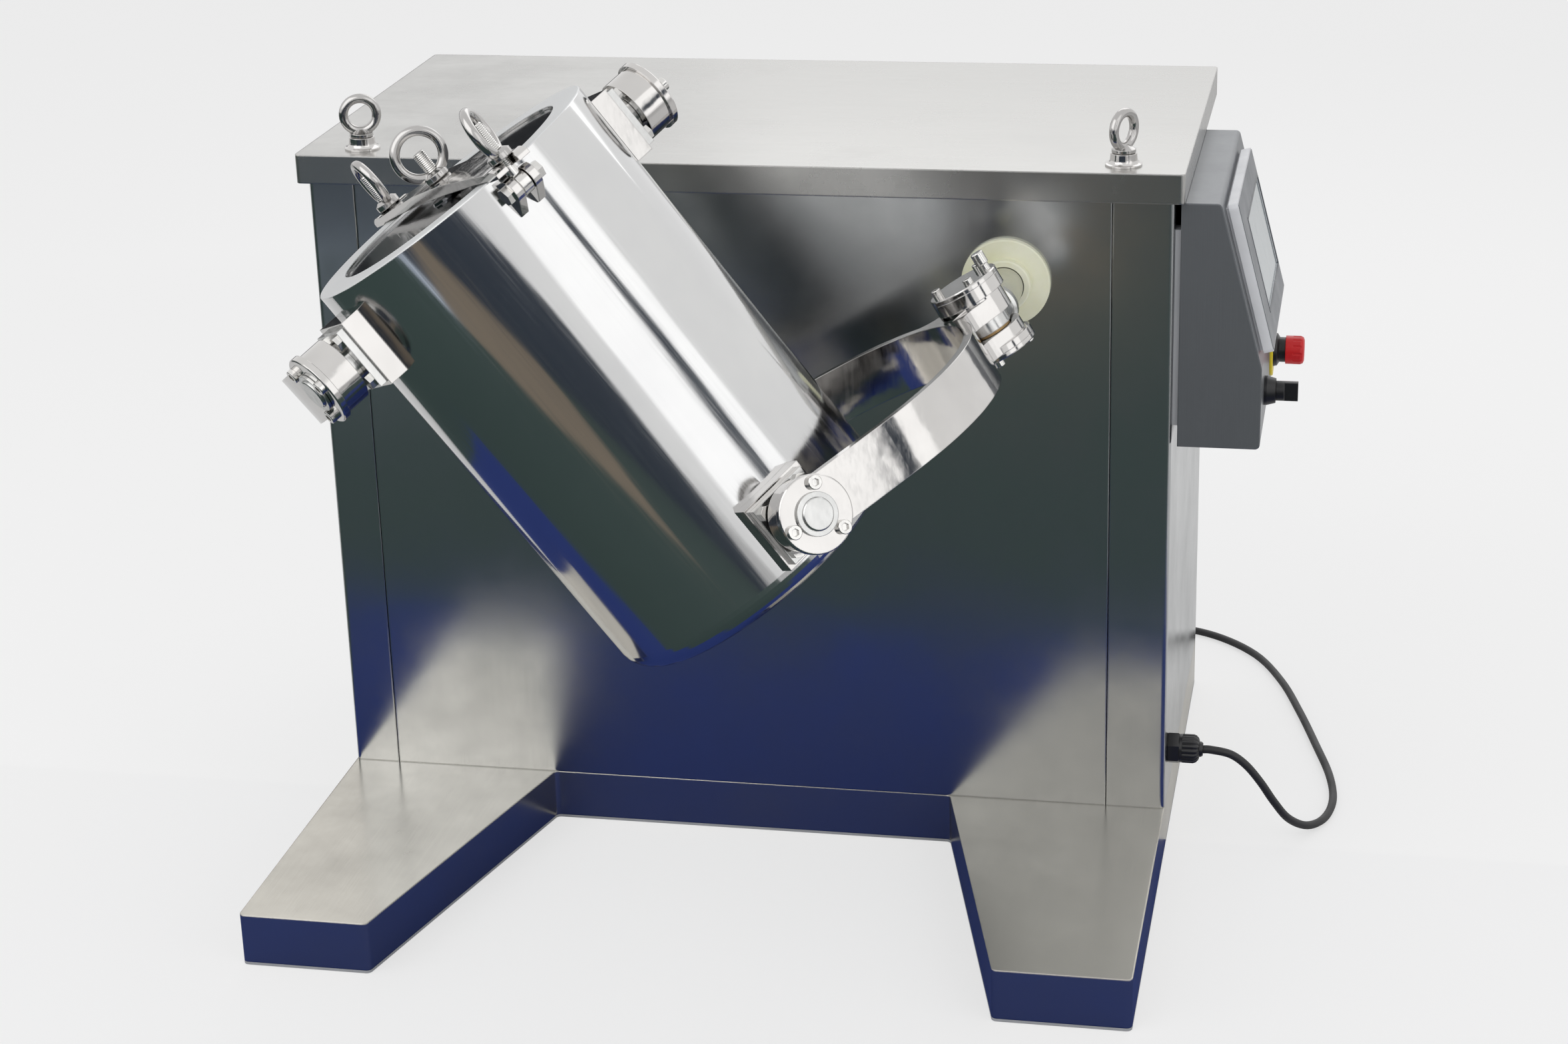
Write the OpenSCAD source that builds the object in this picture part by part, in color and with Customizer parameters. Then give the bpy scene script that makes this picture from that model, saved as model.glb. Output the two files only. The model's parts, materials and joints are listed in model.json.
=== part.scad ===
// Three-dimensional mixer: a cabinet with two horizontal shafts, two forked yokes and a tumbling barrel.
// Millimetres. +Z is up, the front looks along -Y, and the origin is the middle of the cabinet's underside.

/* [Cabinet] */
// Width of the cabinet body
body_w = 920; // [880:1:980]
// Depth of the cabinet body
body_d = 480; // [440:1:540]
// Height of the panels' top edge
panel_top = 736; // [725:1:780]
// Thickness of the panels' sheet
sheet = 2; // [1.5:0.5:3]
// Radius of the panels' bends
bend_r = 3; // [2:0.5:5]
// Width of the left panel's front return
left_return = 50; // [35:1:70]
// Width of the right panel's front return
right_return = 63; // [45:1:75]
// Width of the side panels' rear returns
rear_return = 22; // [18:1:30]
// Width of the flanges along the panels' top edge
top_return = 20; // [12:1:26]
// Depth of the front and rear panels' folded edges
fold = 15; // [10:1:16]
// Gap between neighbouring panels
seam = 1; // [0.5:0.1:2]
// Height of the top cover
cover_h = 33; // [25:1:40]
// Overhang of the top cover on every side
cover_over = 10; // [6:1:20]
// Vent slots in each column of the rear panel
vent_rows = 8; // [4:1:12]

/* [Base] */
// Height of the base
base_h = 57; // [45:1:70]
// Thickness of the base's sheet
base_sheet = 3; // [2:0.5:4]
// How far the legs reach ahead of the cabinet
leg_reach = 380; // [330:1:420]
// Width of a leg at its tip
leg_tip_w = 138; // [110:1:160]
// Width of a leg where it meets the cabinet
leg_root_w = 235; // [180:1:250]
// Corner radius of the base
base_r = 6; // [4:1:12]

/* [Lifting eyes] */
// Distance of each lifting eye from the middle of the cover
eye_x = 405; // [360:1:420]
// Distance of each lifting eye behind the front plane
eye_y = 25; // [22:1:60]
// Diameter of the boss at the cover
eye_boss_d = 38; // [34:1:44]
// Diameter of the boss under the eye bolt
eye_boss_top_d = 27; // [26:1:30]
// Height of the boss
eye_boss_h = 13; // [10:1:18]
// Diameter of the eye bolt's collar
eye_collar_d = 25; // [22:1:27]
// Outer diameter of the eye bolt's ring
eye_ring_d = 45; // [42:1:50]
// Thickness of the eye bolt's ring
eye_rod_d = 10; // [8:0.5:11]
// Turn of the left ring about its bolt
left_eye_turn = 20; // [0:1:90]
// Turn of the right ring about its bolt
right_eye_turn = 60; // [0:1:90]

/* [Linkage] */
// Distance between neighbouring pivots
link = 345; // [340:1:352]
// Height of the two shafts
shaft_z = 648; // [640:1:652]
// Distance of the shafts' pivots ahead of the cabinet
pivot_reach = 150; // [145:1:180]
// Sideways place of the line midway between the shafts
mid_x = -10.4; // [-14:0.1:-6]
// Cosine between the driving yoke and the barrel's axis, which sets where the barrel stands
pose = -0.115; // [-0.13:0.001:-0.1]

/* [Shafts and bearings] */
// Diameter of the shafts
shaft_d = 40; // [36:1:42]
// Diameter of the collar behind each pivot
shaft_collar_d = 50; // [46:1:54]
// Distance from a pivot back to the collar
collar_back = 42; // [41:1:46]
// Length of the collar
collar_l = 12; // [8:1:16]
// Thickness of the shaft's tongue
tongue_t = 12; // [10:0.5:14]
// Outer radius of the shaft's tongue
tongue_r = 23; // [20:0.5:24]
// Diameter of the pivot pin
pin_d = 16; // [14:0.5:18]
// Half length of the pivot pins
pin_half = 22; // [20:0.5:23]
// Radial clearance of what turns in a bush or a bearing
run_gap = 0.05; // [0.02:0.01:0.09]
// Clearance between faces that pass each other
face_gap = 0.3; // [0.25:0.05:0.5]
// Outer diameter of the shaft bearings
bearing_d = 80; // [76:1:84]
// Width of the shaft bearings
bearing_w = 18; // [14:1:20]
// Thickness of the bearing plate
plate_t = 12; // [10:1:16]
// Outer diameter of the bearing housings
housing_d = 110; // [104:1:120]
// Length of the bearing housings
housing_l = 120; // [100:1:130]
// Diameter of the housing flange
housing_flange_d = 138; // [132:1:150]
// Thickness of the housing flange
housing_flange_t = 12; // [8:1:16]
// Diameter of the seal disc's flange
seal_d = 92; // [84:1:100]
// Thickness of the seal disc's flange
seal_t = 8; // [5:1:12]
// Diameter of the seal disc's nose
seal_nose_d = 54; // [48:1:62]
// Length of the seal disc's nose
seal_nose_l = 11; // [8:1:14]
// Diameter of the hole in the front panel for each seal disc
seal_hole_d = 64; // [60:1:72]
// Radial clearance of the seal disc round the shaft
seal_gap = 0.5; // [0.3:0.1:1]

/* [Drive] */
// Width of the reducer's case
reducer_w = 120; // [110:1:130]
// Distance of the reducer behind the rear end of the housings
reducer_gap = 18; // [10:1:24]
// Drop from the reducer's output to its worm
worm_drop = 45; // [42:1:50]
// Diameter of the worm's case
worm_case_d = 76; // [70:1:84]
// Diameter of the motor
motor_d = 130; // [110:1:140]
// Length of the motor
motor_l = 190; // [150:1:200]
// Width of the inverter
inverter_w = 120; // [100:1:150]
// Height of the inverter
inverter_h = 200; // [160:1:240]
// Depth of the inverter
inverter_d = 130; // [100:1:160]

/* [Yokes] */
// Thickness of the yoke's strap
strap_t = 10; // [8:0.5:12]
// Width of the yoke's strap
strap_w = 54; // [50:1:58]
// Distance from a yoke's base pivot to the outside of its strap
strap_base = 38; // [36:1:42]
// Diameter of the trunnion bosses
boss_d = 66; // [62:1:70]
// Length of the trunnion bosses
boss_l = 25; // [23:1:28]
// Outer diameter of the base ears
ear_d = 64; // [60:1:66]
// Distance from a base pivot to the end of the ear on the lid's side
ear_long = 43; // [38:1:50]
// Distance from a base pivot to the end of the other ear
ear_short = 27; // [27:1:34]
// Width of the slot between the driving yoke's ears
open_slot_w = 28; // [26:0.5:30]
// Width of the slot between the driven yoke's ears
slot_w = 15; // [14.8:0.1:18]
// Depth of the slot past the base pivot
slot_deep = 33; // [30:0.5:34]
// Radius of the fillets between the strap and the ears
neck_r = 26; // [20:1:40]
// Outer diameter of the ears' bushes
ear_bush_d = 34; // [32:1:36]
// Diameter of the ears' end flanges and caps
ear_cap_d = 73; // [70:1:75]
// Thickness of the ears' caps
ear_cap_t = 5; // [4:0.5:7]
// Diameter of the trunnion caps
boss_cap_d = 72; // [68:1:76]
// Thickness of the trunnion caps
boss_cap_t = 7; // [5:0.5:9]
// Bolt circle of the ears' caps
ear_screw_pcd = 56; // [52:1:60]
// Bolt circle of the trunnion caps
boss_screw_pcd = 56; // [52:1:58]
// Diameter of the ears' cap screws
screw_d = 6; // [5:0.5:6]
// Turn of the ears' cap screws from the strap
ear_screw_turn = 75; // [0:1:120]
// Diameter of the trunnion caps' screws
boss_screw_d = 8; // [6:0.5:8]
// Turn of the trunnion caps' screws from the strap
boss_screw_turn = 2; // [0:1:60]
// Diameter of the grease cup on the driven yoke's cap
cup_d = 13; // [11:0.5:15]
// Height of the grease cup
cup_h = 20; // [16:1:24]

/* [Barrel] */
// Outer diameter of the barrel
barrel_d = 304; // [290:1:312]
// Wall of the barrel
barrel_wall = 4; // [3:0.5:6]
// Height of the rim above the upper trunnions
rim_over = 56; // [50:1:66]
// Distance of the bottom below the lower trunnions
bottom_under = 62; // [50:1:70]
// Radius between the barrel's wall and bottom
knuckle_r = 25; // [15:1:35]
// Thickness of the rim's ring
rim_t = 22; // [18:1:26]
// Diameter of the seat for the lid
mouth_d = 244; // [236:1:252]
// Depth of the seat for the lid
mouth_deep = 13; // [12:0.5:15]
// Diameter of the barrel's throat
throat_d = 216; // [200:1:224]
// Width of the square pads under the trunnions
pad_w = 70; // [66:1:78]
// Height of the pads from the barrel's wall
pad_h = 16; // [12:1:20]
// Width of the trunnions' square flanges
flange_w = 62; // [58:1:65]
// Thickness of the trunnions' flanges
flange_t = 8; // [6:1:10]
// Half the spacing of the flange bolts
flange_bolt = 22; // [20:0.5:24]
// Space between a trunnion's flange and its boss
boss_space = 8; // [7:0.5:10]
// Diameter of the trunnions' collars
trunnion_collar_d = 42; // [36:1:46]
// Diameter of the trunnions' journals
journal_d = 30; // [26:1:32]
// Outer diameter of the trunnions' bushes
boss_bush_d = 40; // [38:1:44]
// Width of the retaining rings
ring_t = 3; // [2:0.5:4]
// Outer diameter of the retaining rings
ring_d = 40; // [36:1:44]

/* [Lid] */
// Thickness of the lid
lid_t = 8; // [6:0.5:9]
// Radial clearance of the lid in its seat
lid_gap = 0.5; // [0.3:0.1:1]
// Thickness of the lid's gasket
gasket_t = 2; // [1.5:0.5:3]
// Width of the lid's gasket
gasket_w = 9; // [6:1:12]
// Width of the clamp bar
bar_w = 38; // [32:1:44]
// Thickness of the clamp bar
bar_t = 10; // [8:0.5:12]
// Rise of the clamp bar's middle over its ends
bar_rise = 6; // [4:0.5:10]
// Clearance of the clamp bar over the rim
bar_gap = 1; // [0.5:0.5:3]
// Distance of each swing bolt outside the barrel's wall
bolt_out = 15; // [14:0.5:20]
// Drop of the hinge pins below the rim
hinge_drop = 18; // [16:0.5:22]
// Diameter of the swing bolts
bolt_d = 12; // [10:0.5:12]
// Height of the swing bolts above the rim
bolt_over = 46; // [42:1:60]
// Diameter of the swing bolts' eyes
bolt_eye_d = 22; // [20:1:24]
// Width of the slot for a swing bolt
bolt_slot = 13; // [12.6:0.1:14]
// Thickness of the clamp lugs' ears
lug_t = 8; // [6:0.5:10]
// Diameter of the hinge pins
hinge_pin_d = 10; // [8:0.5:10]
// Diameter of an eye nut's collar
nut_collar_d = 24; // [22:1:26]
// Height of an eye nut's collar
nut_collar_h = 9; // [7:0.5:10]
// Mean radius of an eye nut's ring
nut_ring_r = 22; // [20:0.5:25]
// Thickness of an eye nut's ring
nut_rod_d = 9.6; // [8:0.2:10]
// Turn of the middle eye nut about its bolt
centre_turn = -18; // [-90:1:90]
// Turn of the front eye nut about its bolt
front_turn = 56; // [-90:1:90]
// Turn of the back eye nut about its bolt
back_turn = -98; // [-90:1:90]

/* [Control box] */
// Gap between the control box and the side panel
box_gap = 6; // [4:0.5:8]
// Width of the box at its top
box_top_w = 40; // [34:1:50]
// Width of the box at its bottom
box_w = 85; // [70:1:100]
// Height of the box's underside
box_low = 475; // [460:1:485]
// Height of the bend between the slope and the upright face
box_bend = 562; // [556:1:568]
// Depth of the box from the front plane
box_d = 315; // [312:1:330]
// Corner radius of the box
box_r = 5; // [4:0.5:8]
// Length of the touch panel
touch_l = 240; // [225:1:272]
// Height of the touch panel along the slope
touch_h = 162; // [155:1:166]
// Thickness of the touch panel
touch_t = 10; // [8:0.5:12]
// Distance of the touch panel from the box's front
touch_y = 36; // [34:1:40]
// Thickness of the touch panel's gasket
touch_gasket = 3; // [1:0.5:4]
// Length of the screen
screen_l = 179; // [170:1:185]
// Height of the screen
screen_h = 99; // [95:1:105]
// Distance of the screen from the touch panel's upper edge
screen_drop = 32; // [25:1:34]
// Height of the switches
switch_z = 515; // [510:1:520]
// Distance of the selector from the box's front
selector_y = 75; // [60:1:90]
// Distance of the emergency stop from the box's front
estop_y = 218; // [190:1:240]
// Diameter of the emergency stop's head
estop_d = 31; // [29:1:36]
// Diameter of the emergency stop's plate
estop_plate_d = 58; // [50:1:62]
// Travel of the emergency stop
estop_travel = 5; // [3:0.5:5]
// Diameter of the selector's bezel
bezel_d = 31; // [29:1:33]
// Diameter of the selector's knob
knob_d = 21; // [19:0.5:24]

/* [Cord] */
// Height of the cable gland
gland_z = 112; // [105:1:120]
// Distance of the cable gland behind the front plane
gland_y = 40; // [36:1:44]
// Diameter of the gland's thread
gland_d = 28; // [25:0.5:30]
// Diameter of the cord
cord_d = 9; // [8:0.1:9.2]
// Spacing of the coil's turns and layers
coil_pitch = 9.6; // [9.6:0.1:11]
// Radius of the coil's innermost turn
coil_in_r = 37; // [36:1:40]
// Turns in each of the coil's two layers
coil_turns = 3; // [3:1:3]

/* [Hidden] */
$fn = 48;
eps = 0.01;

// Cabinet places
half_w = body_w / 2;
front = -body_d / 2;
back = body_d / 2;
leg_tip_y = front - leg_reach;
cover_top = panel_top + cover_h - sheet;
cover_lip = cover_over + top_return;
panel_h = panel_top - base_h;
plate_gap = 2;
plate_y = front + sheet + fold + plate_gap;
plate_back = plate_y + plate_t;
plate_head = 4;
housing_back = plate_y + housing_l;

// The linkage in closed form: six pivots, unit vectors u, v, w along the three middle links
pose_q = -pose / (1 + pose);
ux = (1 + 2 * pose) / (sqrt(3) * (1 + pose));
vx = (1 + pose + pose * pose) / (sqrt(3) * (1 + pose));
wx = (1 - pose) / sqrt(3);
uy_top = 1 - pose * pose - ux * ux - vx * vx + 2 * pose * ux * vx;
uy_low = 1 - pose * pose - pow(vx - pose * ux, 2);
uy = -sqrt(uy_top / uy_low);
vy = pose * uy;
u = [ux, uy, sqrt(1 - ux * ux - uy * uy)];
v = [vx, vy, -sqrt(1 - vx * vx - vy * vy)];
w = [wx, -(1 + pose) * uy, -(u.z + v.z)];
shaft_half = link * sqrt(3) / 2;
pivot_y = front - pivot_reach;
drive_pivot = [mid_x - shaft_half, pivot_y, shaft_z];
driven_pivot = [mid_x + shaft_half, pivot_y, shaft_z];
upper_pivot = drive_pivot + link * u;
lower_pivot = upper_pivot + link * v;
upper_axis = unit(cross(u, v));
lower_axis = unit(cross(v, w));
drive_axis = unit(v - pose * u);
driven_axis = unit(v - pose_q * w);
ahead = [0, -1, 0];

// Barrel places, from the middle of the barrel's two trunnion lines
barrel_r = barrel_d / 2;
rim_z = link / 2 + rim_over;
bottom_z = -link / 2 - bottom_under;
pad_r = barrel_r + pad_h;
flange_r = pad_r + flange_t;
boss_in = flange_r + boss_space;
boss_out = boss_in + boss_l;
half_span = boss_in + boss_l / 2;
cap_out = boss_out + boss_cap_t;
journal_end = cap_out + face_gap + ring_t + 2;
strap_r = half_span + strap_t / 2;
strap_x = strap_base + strap_r;
seat_z = rim_z - mouth_deep;
lid_z = seat_z + gasket_t;
lid_top = lid_z + lid_t;
bolt_x = barrel_r + bolt_out;
pin_z = rim_z - hinge_drop;
bar_low = rim_z + bar_gap;
bar_seat = bar_low + bar_t - 3;
bar_mid = bar_seat + bar_rise;
nut_base = bar_seat + face_gap;
lug_gap = bolt_slot;

// Yoke places
ear_r = ear_d / 2;
slot_half = slot_w / 2;
ear_top = ear_long;
ear_bottom = ear_short;
flange_lip = 7;
top_lip = 13;

// Control box places
box_x = half_w + box_gap;
box_face = box_x + box_w;
box_top = panel_top - 1;
box_shoulder = box_x + box_top_w;
slope_l = norm([box_face - box_shoulder, box_top - box_bend]);
slope_turn = atan2(box_face - box_shoulder, box_top - box_bend);

// Cord route, from the gland to the coil, in whole millimetres where it lies free
gland_end = half_w + 38;
cord_r = cord_d / 2;
coil_at = [330, 330];
coil_out_r = coil_in_r + coil_turns * coil_pitch;
coil_lead = cord_d;
plug_lead = 40;
cord_route = [
    [gland_end, front + gland_y, gland_z],
    [gland_end + cord_d, front + gland_y, gland_z],
    [528, -200, 108],
    [545, -198, 95],
    [561, -195, 74],
    [576, -190, 49],
    [592, -180, 25],
    [612, -162, 9],
    [630, -132, cord_r],
    [638, -84, cord_r],
    [632, -20, cord_r],
    [614, 60, cord_r],
    [592, 150, cord_r],
    [566, 240, cord_r],
    [530, 318, cord_r],
    [476, 372, cord_r],
    [414, 395, cord_r],
    [coil_at.x + coil_lead + cord_d, coil_at.y + coil_out_r, cord_r],
    [coil_at.x + coil_lead, coil_at.y + coil_out_r, cord_r]
];

// Vectors, outlines and places
function unit(a) = a / norm(a);

// The corner b of an outline as an arc of radius r, between neighbours a and c
function corner(a, b, c, r, n) =
    let (d1 = unit(b - a), d2 = unit(c - b), side = sign(cross(d1, d2)),
        turn = acos(d1 * d2), n1 = [-d1.y, d1.x] * side,
        m = b - d1 * r * tan(turn / 2) + n1 * r, start = atan2(-n1.y, -n1.x))
    r == 0 ? [b] : [for (i = [0:n]) m + r * [cos(start + side * turn * i / n), sin(start + side * turn * i / n)]];

// An outline with its corners rounded, by one radius or by a list of them
function rounded(p, r, n = 5) =
    [for (i = [0:len(p) - 1])
        each corner(p[(i + len(p) - 1) % len(p)], p[i], p[(i + 1) % len(p)], is_list(r) ? r[i] : r, n)];

// An outline drawn in by t, its points running anticlockwise
function inset(p, t) =
    [for (i = [0:len(p) - 1])
        let (d1 = unit(p[i] - p[(i + len(p) - 1) % len(p)]), d2 = unit(p[(i + 1) % len(p)] - p[i]),
            n1 = [-d1.y, d1.x], n2 = [-d2.y, d2.x])
        p[i] + t * (n1 + n2) / (1 + n1 * n2)];

function arc(centre, r, from, to, n = 8) =
    [for (i = [0:n]) centre + r * [cos(from + (to - from) * i / n), sin(from + (to - from) * i / n)]];

// Children drawn with their X and Z axes along x and z, at o
module place(o, x, z) {
    y = cross(z, x);
    multmatrix([[x.x, y.x, z.x, o.x], [x.y, y.y, z.y, o.y], [x.z, y.z, z.z, o.z], [0, 0, 0, 1]])
        children();
}

module in_barrel() {
    place((upper_pivot + lower_pivot) / 2, lower_axis, -v) children();
}

module in_drive_yoke() {
    place(drive_pivot, u, -drive_axis) children();
}

module in_driven_yoke() {
    place(driven_pivot, -w, -driven_axis) children();
}

// Children on both shafts, with +Z pointing into the cabinet
module on_shafts(y) {
    for (pivot = [drive_pivot, driven_pivot])
        translate([pivot.x, y, shaft_z]) rotate([-90, 0, 0]) children();
}

// Children on the four trunnions, with +Z pointing away from the barrel's axis
module on_trunnions() {
    for (s = [-1, 1]) {
        translate([0, 0, link / 2]) rotate([-90 * s, 0, 0]) children();
        translate([0, 0, -link / 2]) rotate([0, 90 * s, 0]) children();
    }
}

// A ring of rectangular section round Z
module ring(inner, outer, h) {
    difference() {
        cylinder(d = outer, h = h);
        translate([0, 0, -1]) cylinder(d = inner, h = h + 2);
    }
}

// A disc with a chamfered outer top edge
module disc(d, h, edge) {
    rotate_extrude()
        polygon([[0, 0], [d / 2, 0], [d / 2, h - edge], [d / 2 - edge, h], [0, h]]);
}

// A torus round Y, standing on Z
module eye_ring(mean_r, rod, turn) {
    rotate([0, 0, turn]) rotate([90, 0, 90]) rotate_extrude() translate([mean_r, 0]) circle(d = rod, $fn = 24);
}

// A socket head screw whose head stands on z = 0 and whose shank is below
module cap_screw(d, shank, head_h) {
    head_d = d * 1.65;
    difference() {
        union() {
            disc(head_d, head_h, 0.5);
            translate([0, 0, -shank]) cylinder(d = d, h = shank + eps);
        }
        translate([0, 0, head_h / 2]) cylinder(d = d * 0.95, h = head_h, $fn = 6);
    }
}

// Base

base_outline = [
    [-half_w, leg_tip_y],
    [-half_w + leg_tip_w, leg_tip_y],
    [-half_w + leg_root_w, front],
    [half_w - leg_root_w, front],
    [half_w - leg_tip_w, leg_tip_y],
    [half_w, leg_tip_y],
    [half_w, back],
    [-half_w, back]
];

module base_floor() {
    color("gainsboro")
        linear_extrude(base_sheet) polygon(rounded(base_outline, base_r));
}

module base_frame() {
    color("gainsboro") difference() {
        translate([0, 0, base_sheet])
            linear_extrude(base_h - base_sheet) polygon(rounded(base_outline, base_r));
        translate([0, 0, base_sheet - 1])
            linear_extrude(base_h - 2 * base_sheet + 1) polygon(inset(base_outline, base_sheet));
    }
}

// Panels

// A side panel at the right, bent round the front and the back and flanged at top and bottom
module side_panel(front_return) {
    path = [
        [half_w - front_return, front],
        [half_w, front],
        [half_w, back],
        [half_w - rear_return, back],
        [half_w - rear_return, back - sheet],
        [half_w - sheet, back - sheet],
        [half_w - sheet, front + sheet],
        [half_w - front_return, front + sheet]
    ];
    bends = [0, bend_r + sheet, bend_r + sheet, 0, 0, bend_r, bend_r, 0];
    translate([0, 0, base_h]) linear_extrude(panel_h) polygon(rounded(path, bends));
    for (z = [base_h, panel_top - sheet])
        translate([half_w - top_return, front + sheet + bend_r, z])
            cube([top_return - sheet / 2, body_d - 2 * sheet - 2 * bend_r, sheet]);
}

module left_panel() {
    color("gainsboro") mirror([1, 0, 0]) side_panel(left_return);
}

module right_panel() {
    color("gainsboro") difference() {
        side_panel(right_return);
        translate([half_w - 2 * sheet, front + gland_y, gland_z]) rotate([0, 90, 0])
            cylinder(d = gland_d + 0.4, h = 4 * sheet);
    }
}

// A tray of folded sheet, its face on y = 0 and its folds towards +Y
module tray(width) {
    difference() {
        cube([width, fold, panel_h]);
        translate([sheet, sheet, sheet]) cube([width - 2 * sheet, fold, panel_h - 2 * sheet]);
    }
}

module front_panel() {
    left = -half_w + left_return + seam;
    right = half_w - right_return - seam;
    color("gainsboro") difference() {
        translate([left, front, base_h]) tray(right - left);
        on_shafts(front - 1) cylinder(d = seal_hole_d, h = sheet + 2);
    }
}

module rear_panel() {
    width = body_w - 2 * rear_return - 2 * seam;
    slot = [90, 4 * sheet, 5];
    slot_pitch = 16;
    color("gainsboro") difference() {
        translate([width / 2, back, base_h]) rotate([0, 0, 180]) tray(width);
        for (x = [-250, 160], i = [0:vent_rows - 1])
            translate([x, back - 2 * sheet, base_h + 60 + i * slot_pitch]) cube(slot);
    }
}

// The cover is a folded lid whose inward lip lies on the panels' top flanges
module top_cover() {
    wide = body_w + 2 * cover_over;
    deep = body_d + 2 * cover_over;
    outline = [[-wide / 2, -deep / 2], [wide / 2, -deep / 2], [wide / 2, deep / 2], [-wide / 2, deep / 2]];
    color("gainsboro") difference() {
        translate([0, 0, panel_top]) linear_extrude(cover_h - sheet) polygon(rounded(outline, bend_r + sheet));
        translate([0, 0, panel_top + sheet])
            linear_extrude(cover_h - 3 * sheet) polygon(rounded(inset(outline, sheet), bend_r));
        translate([0, 0, panel_top - 1]) linear_extrude(sheet + 2) polygon(inset(outline, cover_lip));
    }
}

module panel_screws() {
    inset_x = half_w - rear_return - 12;
    color("silver") for (sx = [-1, 1], z = [base_h + 20, base_h + panel_h / 2, panel_top - 20])
        translate([sx * inset_x, back, z]) rotate([-90, 0, 0]) disc(9, 3, 1);
}

// Lifting eyes

module on_cover(side) {
    translate([side * eye_x, front + eye_y, cover_top]) children();
}

module lifting_bosses() {
    flare = 5;
    color("silver") for (side = [-1, 1]) on_cover(side) rotate_extrude()
        polygon(concat(
            [[0, 0], [eye_boss_d / 2, 0], [eye_boss_d / 2, 2]],
            arc([eye_boss_top_d / 2 + flare + 0.5, 2 + flare], flare, 270, 180, 6),
            [[eye_boss_top_d / 2, eye_boss_h], [0, eye_boss_h]]));
}

module lifting_eyes() {
    centre_z = eye_boss_h + eye_ring_d / 2 + 1;
    mean_r = (eye_ring_d - eye_rod_d) / 2;
    color("silver") for (side = [-1, 1]) on_cover(side) {
        translate([0, 0, eye_boss_h])
            rotate_extrude() polygon([
                [0, 0], [eye_collar_d / 2 - 1, 0], [eye_collar_d / 2, 1],
                [eye_collar_d / 2, 4], [eye_rod_d / 2, 8.5], [0, 8.5]]);
        translate([0, 0, centre_z]) eye_ring(mean_r, eye_rod_d, 90 + (side < 0 ? left_eye_turn : right_eye_turn));
    }
}

// Shafts, bearings and what carries them

module bearing_plate() {
    half = half_w - top_return - sheet;
    color("lightgray") difference() {
        translate([-half, plate_y, base_h]) cube([2 * half, plate_t, panel_h - sheet - plate_head]);
        on_shafts(plate_y - 1) cylinder(d = housing_d, h = plate_t + 2);
    }
}

module bearing_housings() {
    bore_r = bearing_d / 2 + run_gap;
    mid_r = bearing_d / 2 - 5;
    seat = bearing_w + 2;
    color("dimgray") on_shafts(plate_y) rotate_extrude() polygon([
        [bore_r, 0], [housing_d / 2, 0], [housing_d / 2, plate_t], [housing_flange_d / 2, plate_t],
        [housing_flange_d / 2, plate_t + housing_flange_t], [housing_d / 2, plate_t + housing_flange_t],
        [housing_d / 2, housing_l], [bore_r, housing_l], [bore_r, housing_l - seat],
        [mid_r, housing_l - seat], [mid_r, seat], [bore_r, seat]]);
}

module shaft_bearings() {
    in_r = shaft_d / 2 + run_gap;
    out_r = bearing_d / 2;
    shield = 0.8;
    race = (out_r - in_r) / 4;
    color("silver") for (y = [plate_y + 2, housing_back - bearing_w - 2]) on_shafts(y) rotate_extrude()
        polygon([
            [in_r, 0], [in_r + race, 0], [in_r + race, shield], [out_r - race, shield], [out_r - race, 0],
            [out_r, 0], [out_r, bearing_w], [out_r - race, bearing_w], [out_r - race, bearing_w - shield],
            [in_r + race, bearing_w - shield], [in_r + race, bearing_w], [in_r, bearing_w]]);
}

// A seal disc stands ahead of the front panel and its spigot passes through the panel
module shaft_seals() {
    in_r = shaft_d / 2 + seal_gap;
    spigot_r = seal_hole_d / 2 - 0.2;
    chamfer = 1.5;
    color("oldlace") on_shafts(front) rotate_extrude() polygon([
        [in_r, fold], [in_r, -seal_t - seal_nose_l], [seal_nose_d / 2 - chamfer, -seal_t - seal_nose_l],
        [seal_nose_d / 2, -seal_t - seal_nose_l + chamfer], [seal_nose_d / 2, -seal_t],
        [seal_d / 2 - chamfer, -seal_t], [seal_d / 2, -seal_t + chamfer], [seal_d / 2, 0],
        [spigot_r, 0], [spigot_r, fold]]);
}

// A shaft in its head's frame: +X points ahead, and Z is the pivot's axis
module shaft(back_l) {
    difference() {
        union() {
            translate([-back_l, 0, 0]) rotate([0, 90, 0]) cylinder(d = shaft_d, h = back_l - collar_back);
            translate([-collar_back - collar_l, 0, 0]) rotate([0, 90, 0])
                rotate_extrude() polygon([
                    [0, 0], [shaft_collar_d / 2, 0], [shaft_collar_d / 2, collar_l - 3],
                    [shaft_collar_d / 2 - 3, collar_l], [0, collar_l]]);
            translate([0, 0, -tongue_t / 2]) cylinder(r = tongue_r, h = tongue_t);
            translate([-collar_back - 1, -tongue_r + 1.5, -tongue_t / 2])
                cube([collar_back + 1, 2 * tongue_r - 3, tongue_t]);
        }
        translate([0, 0, -tongue_t]) cylinder(d = pin_d, h = 2 * tongue_t);
    }
}

reducer_y = housing_back + reducer_gap + reducer_w / 2;

module drive_shaft() {
    color("silver") place(drive_pivot, ahead, drive_axis)
        shaft(reducer_y + reducer_w / 2 + 10 - pivot_y);
}

module driven_shaft() {
    color("silver") place(driven_pivot, ahead, driven_axis) shaft(housing_back + 5 - pivot_y);
}

module pivot_pin(half) {
    rotate_extrude() polygon([
        [0, -half], [pin_d / 2 - 1, -half], [pin_d / 2, -half + 1],
        [pin_d / 2, half - 1], [pin_d / 2 - 1, half], [0, half]]);
}

module drive_pin() {
    color("silver") place(drive_pivot, ahead, drive_axis) pivot_pin(pin_half);
}

module driven_pin() {
    color("silver") place(driven_pivot, ahead, driven_axis) pivot_pin(pin_half);
}

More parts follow.
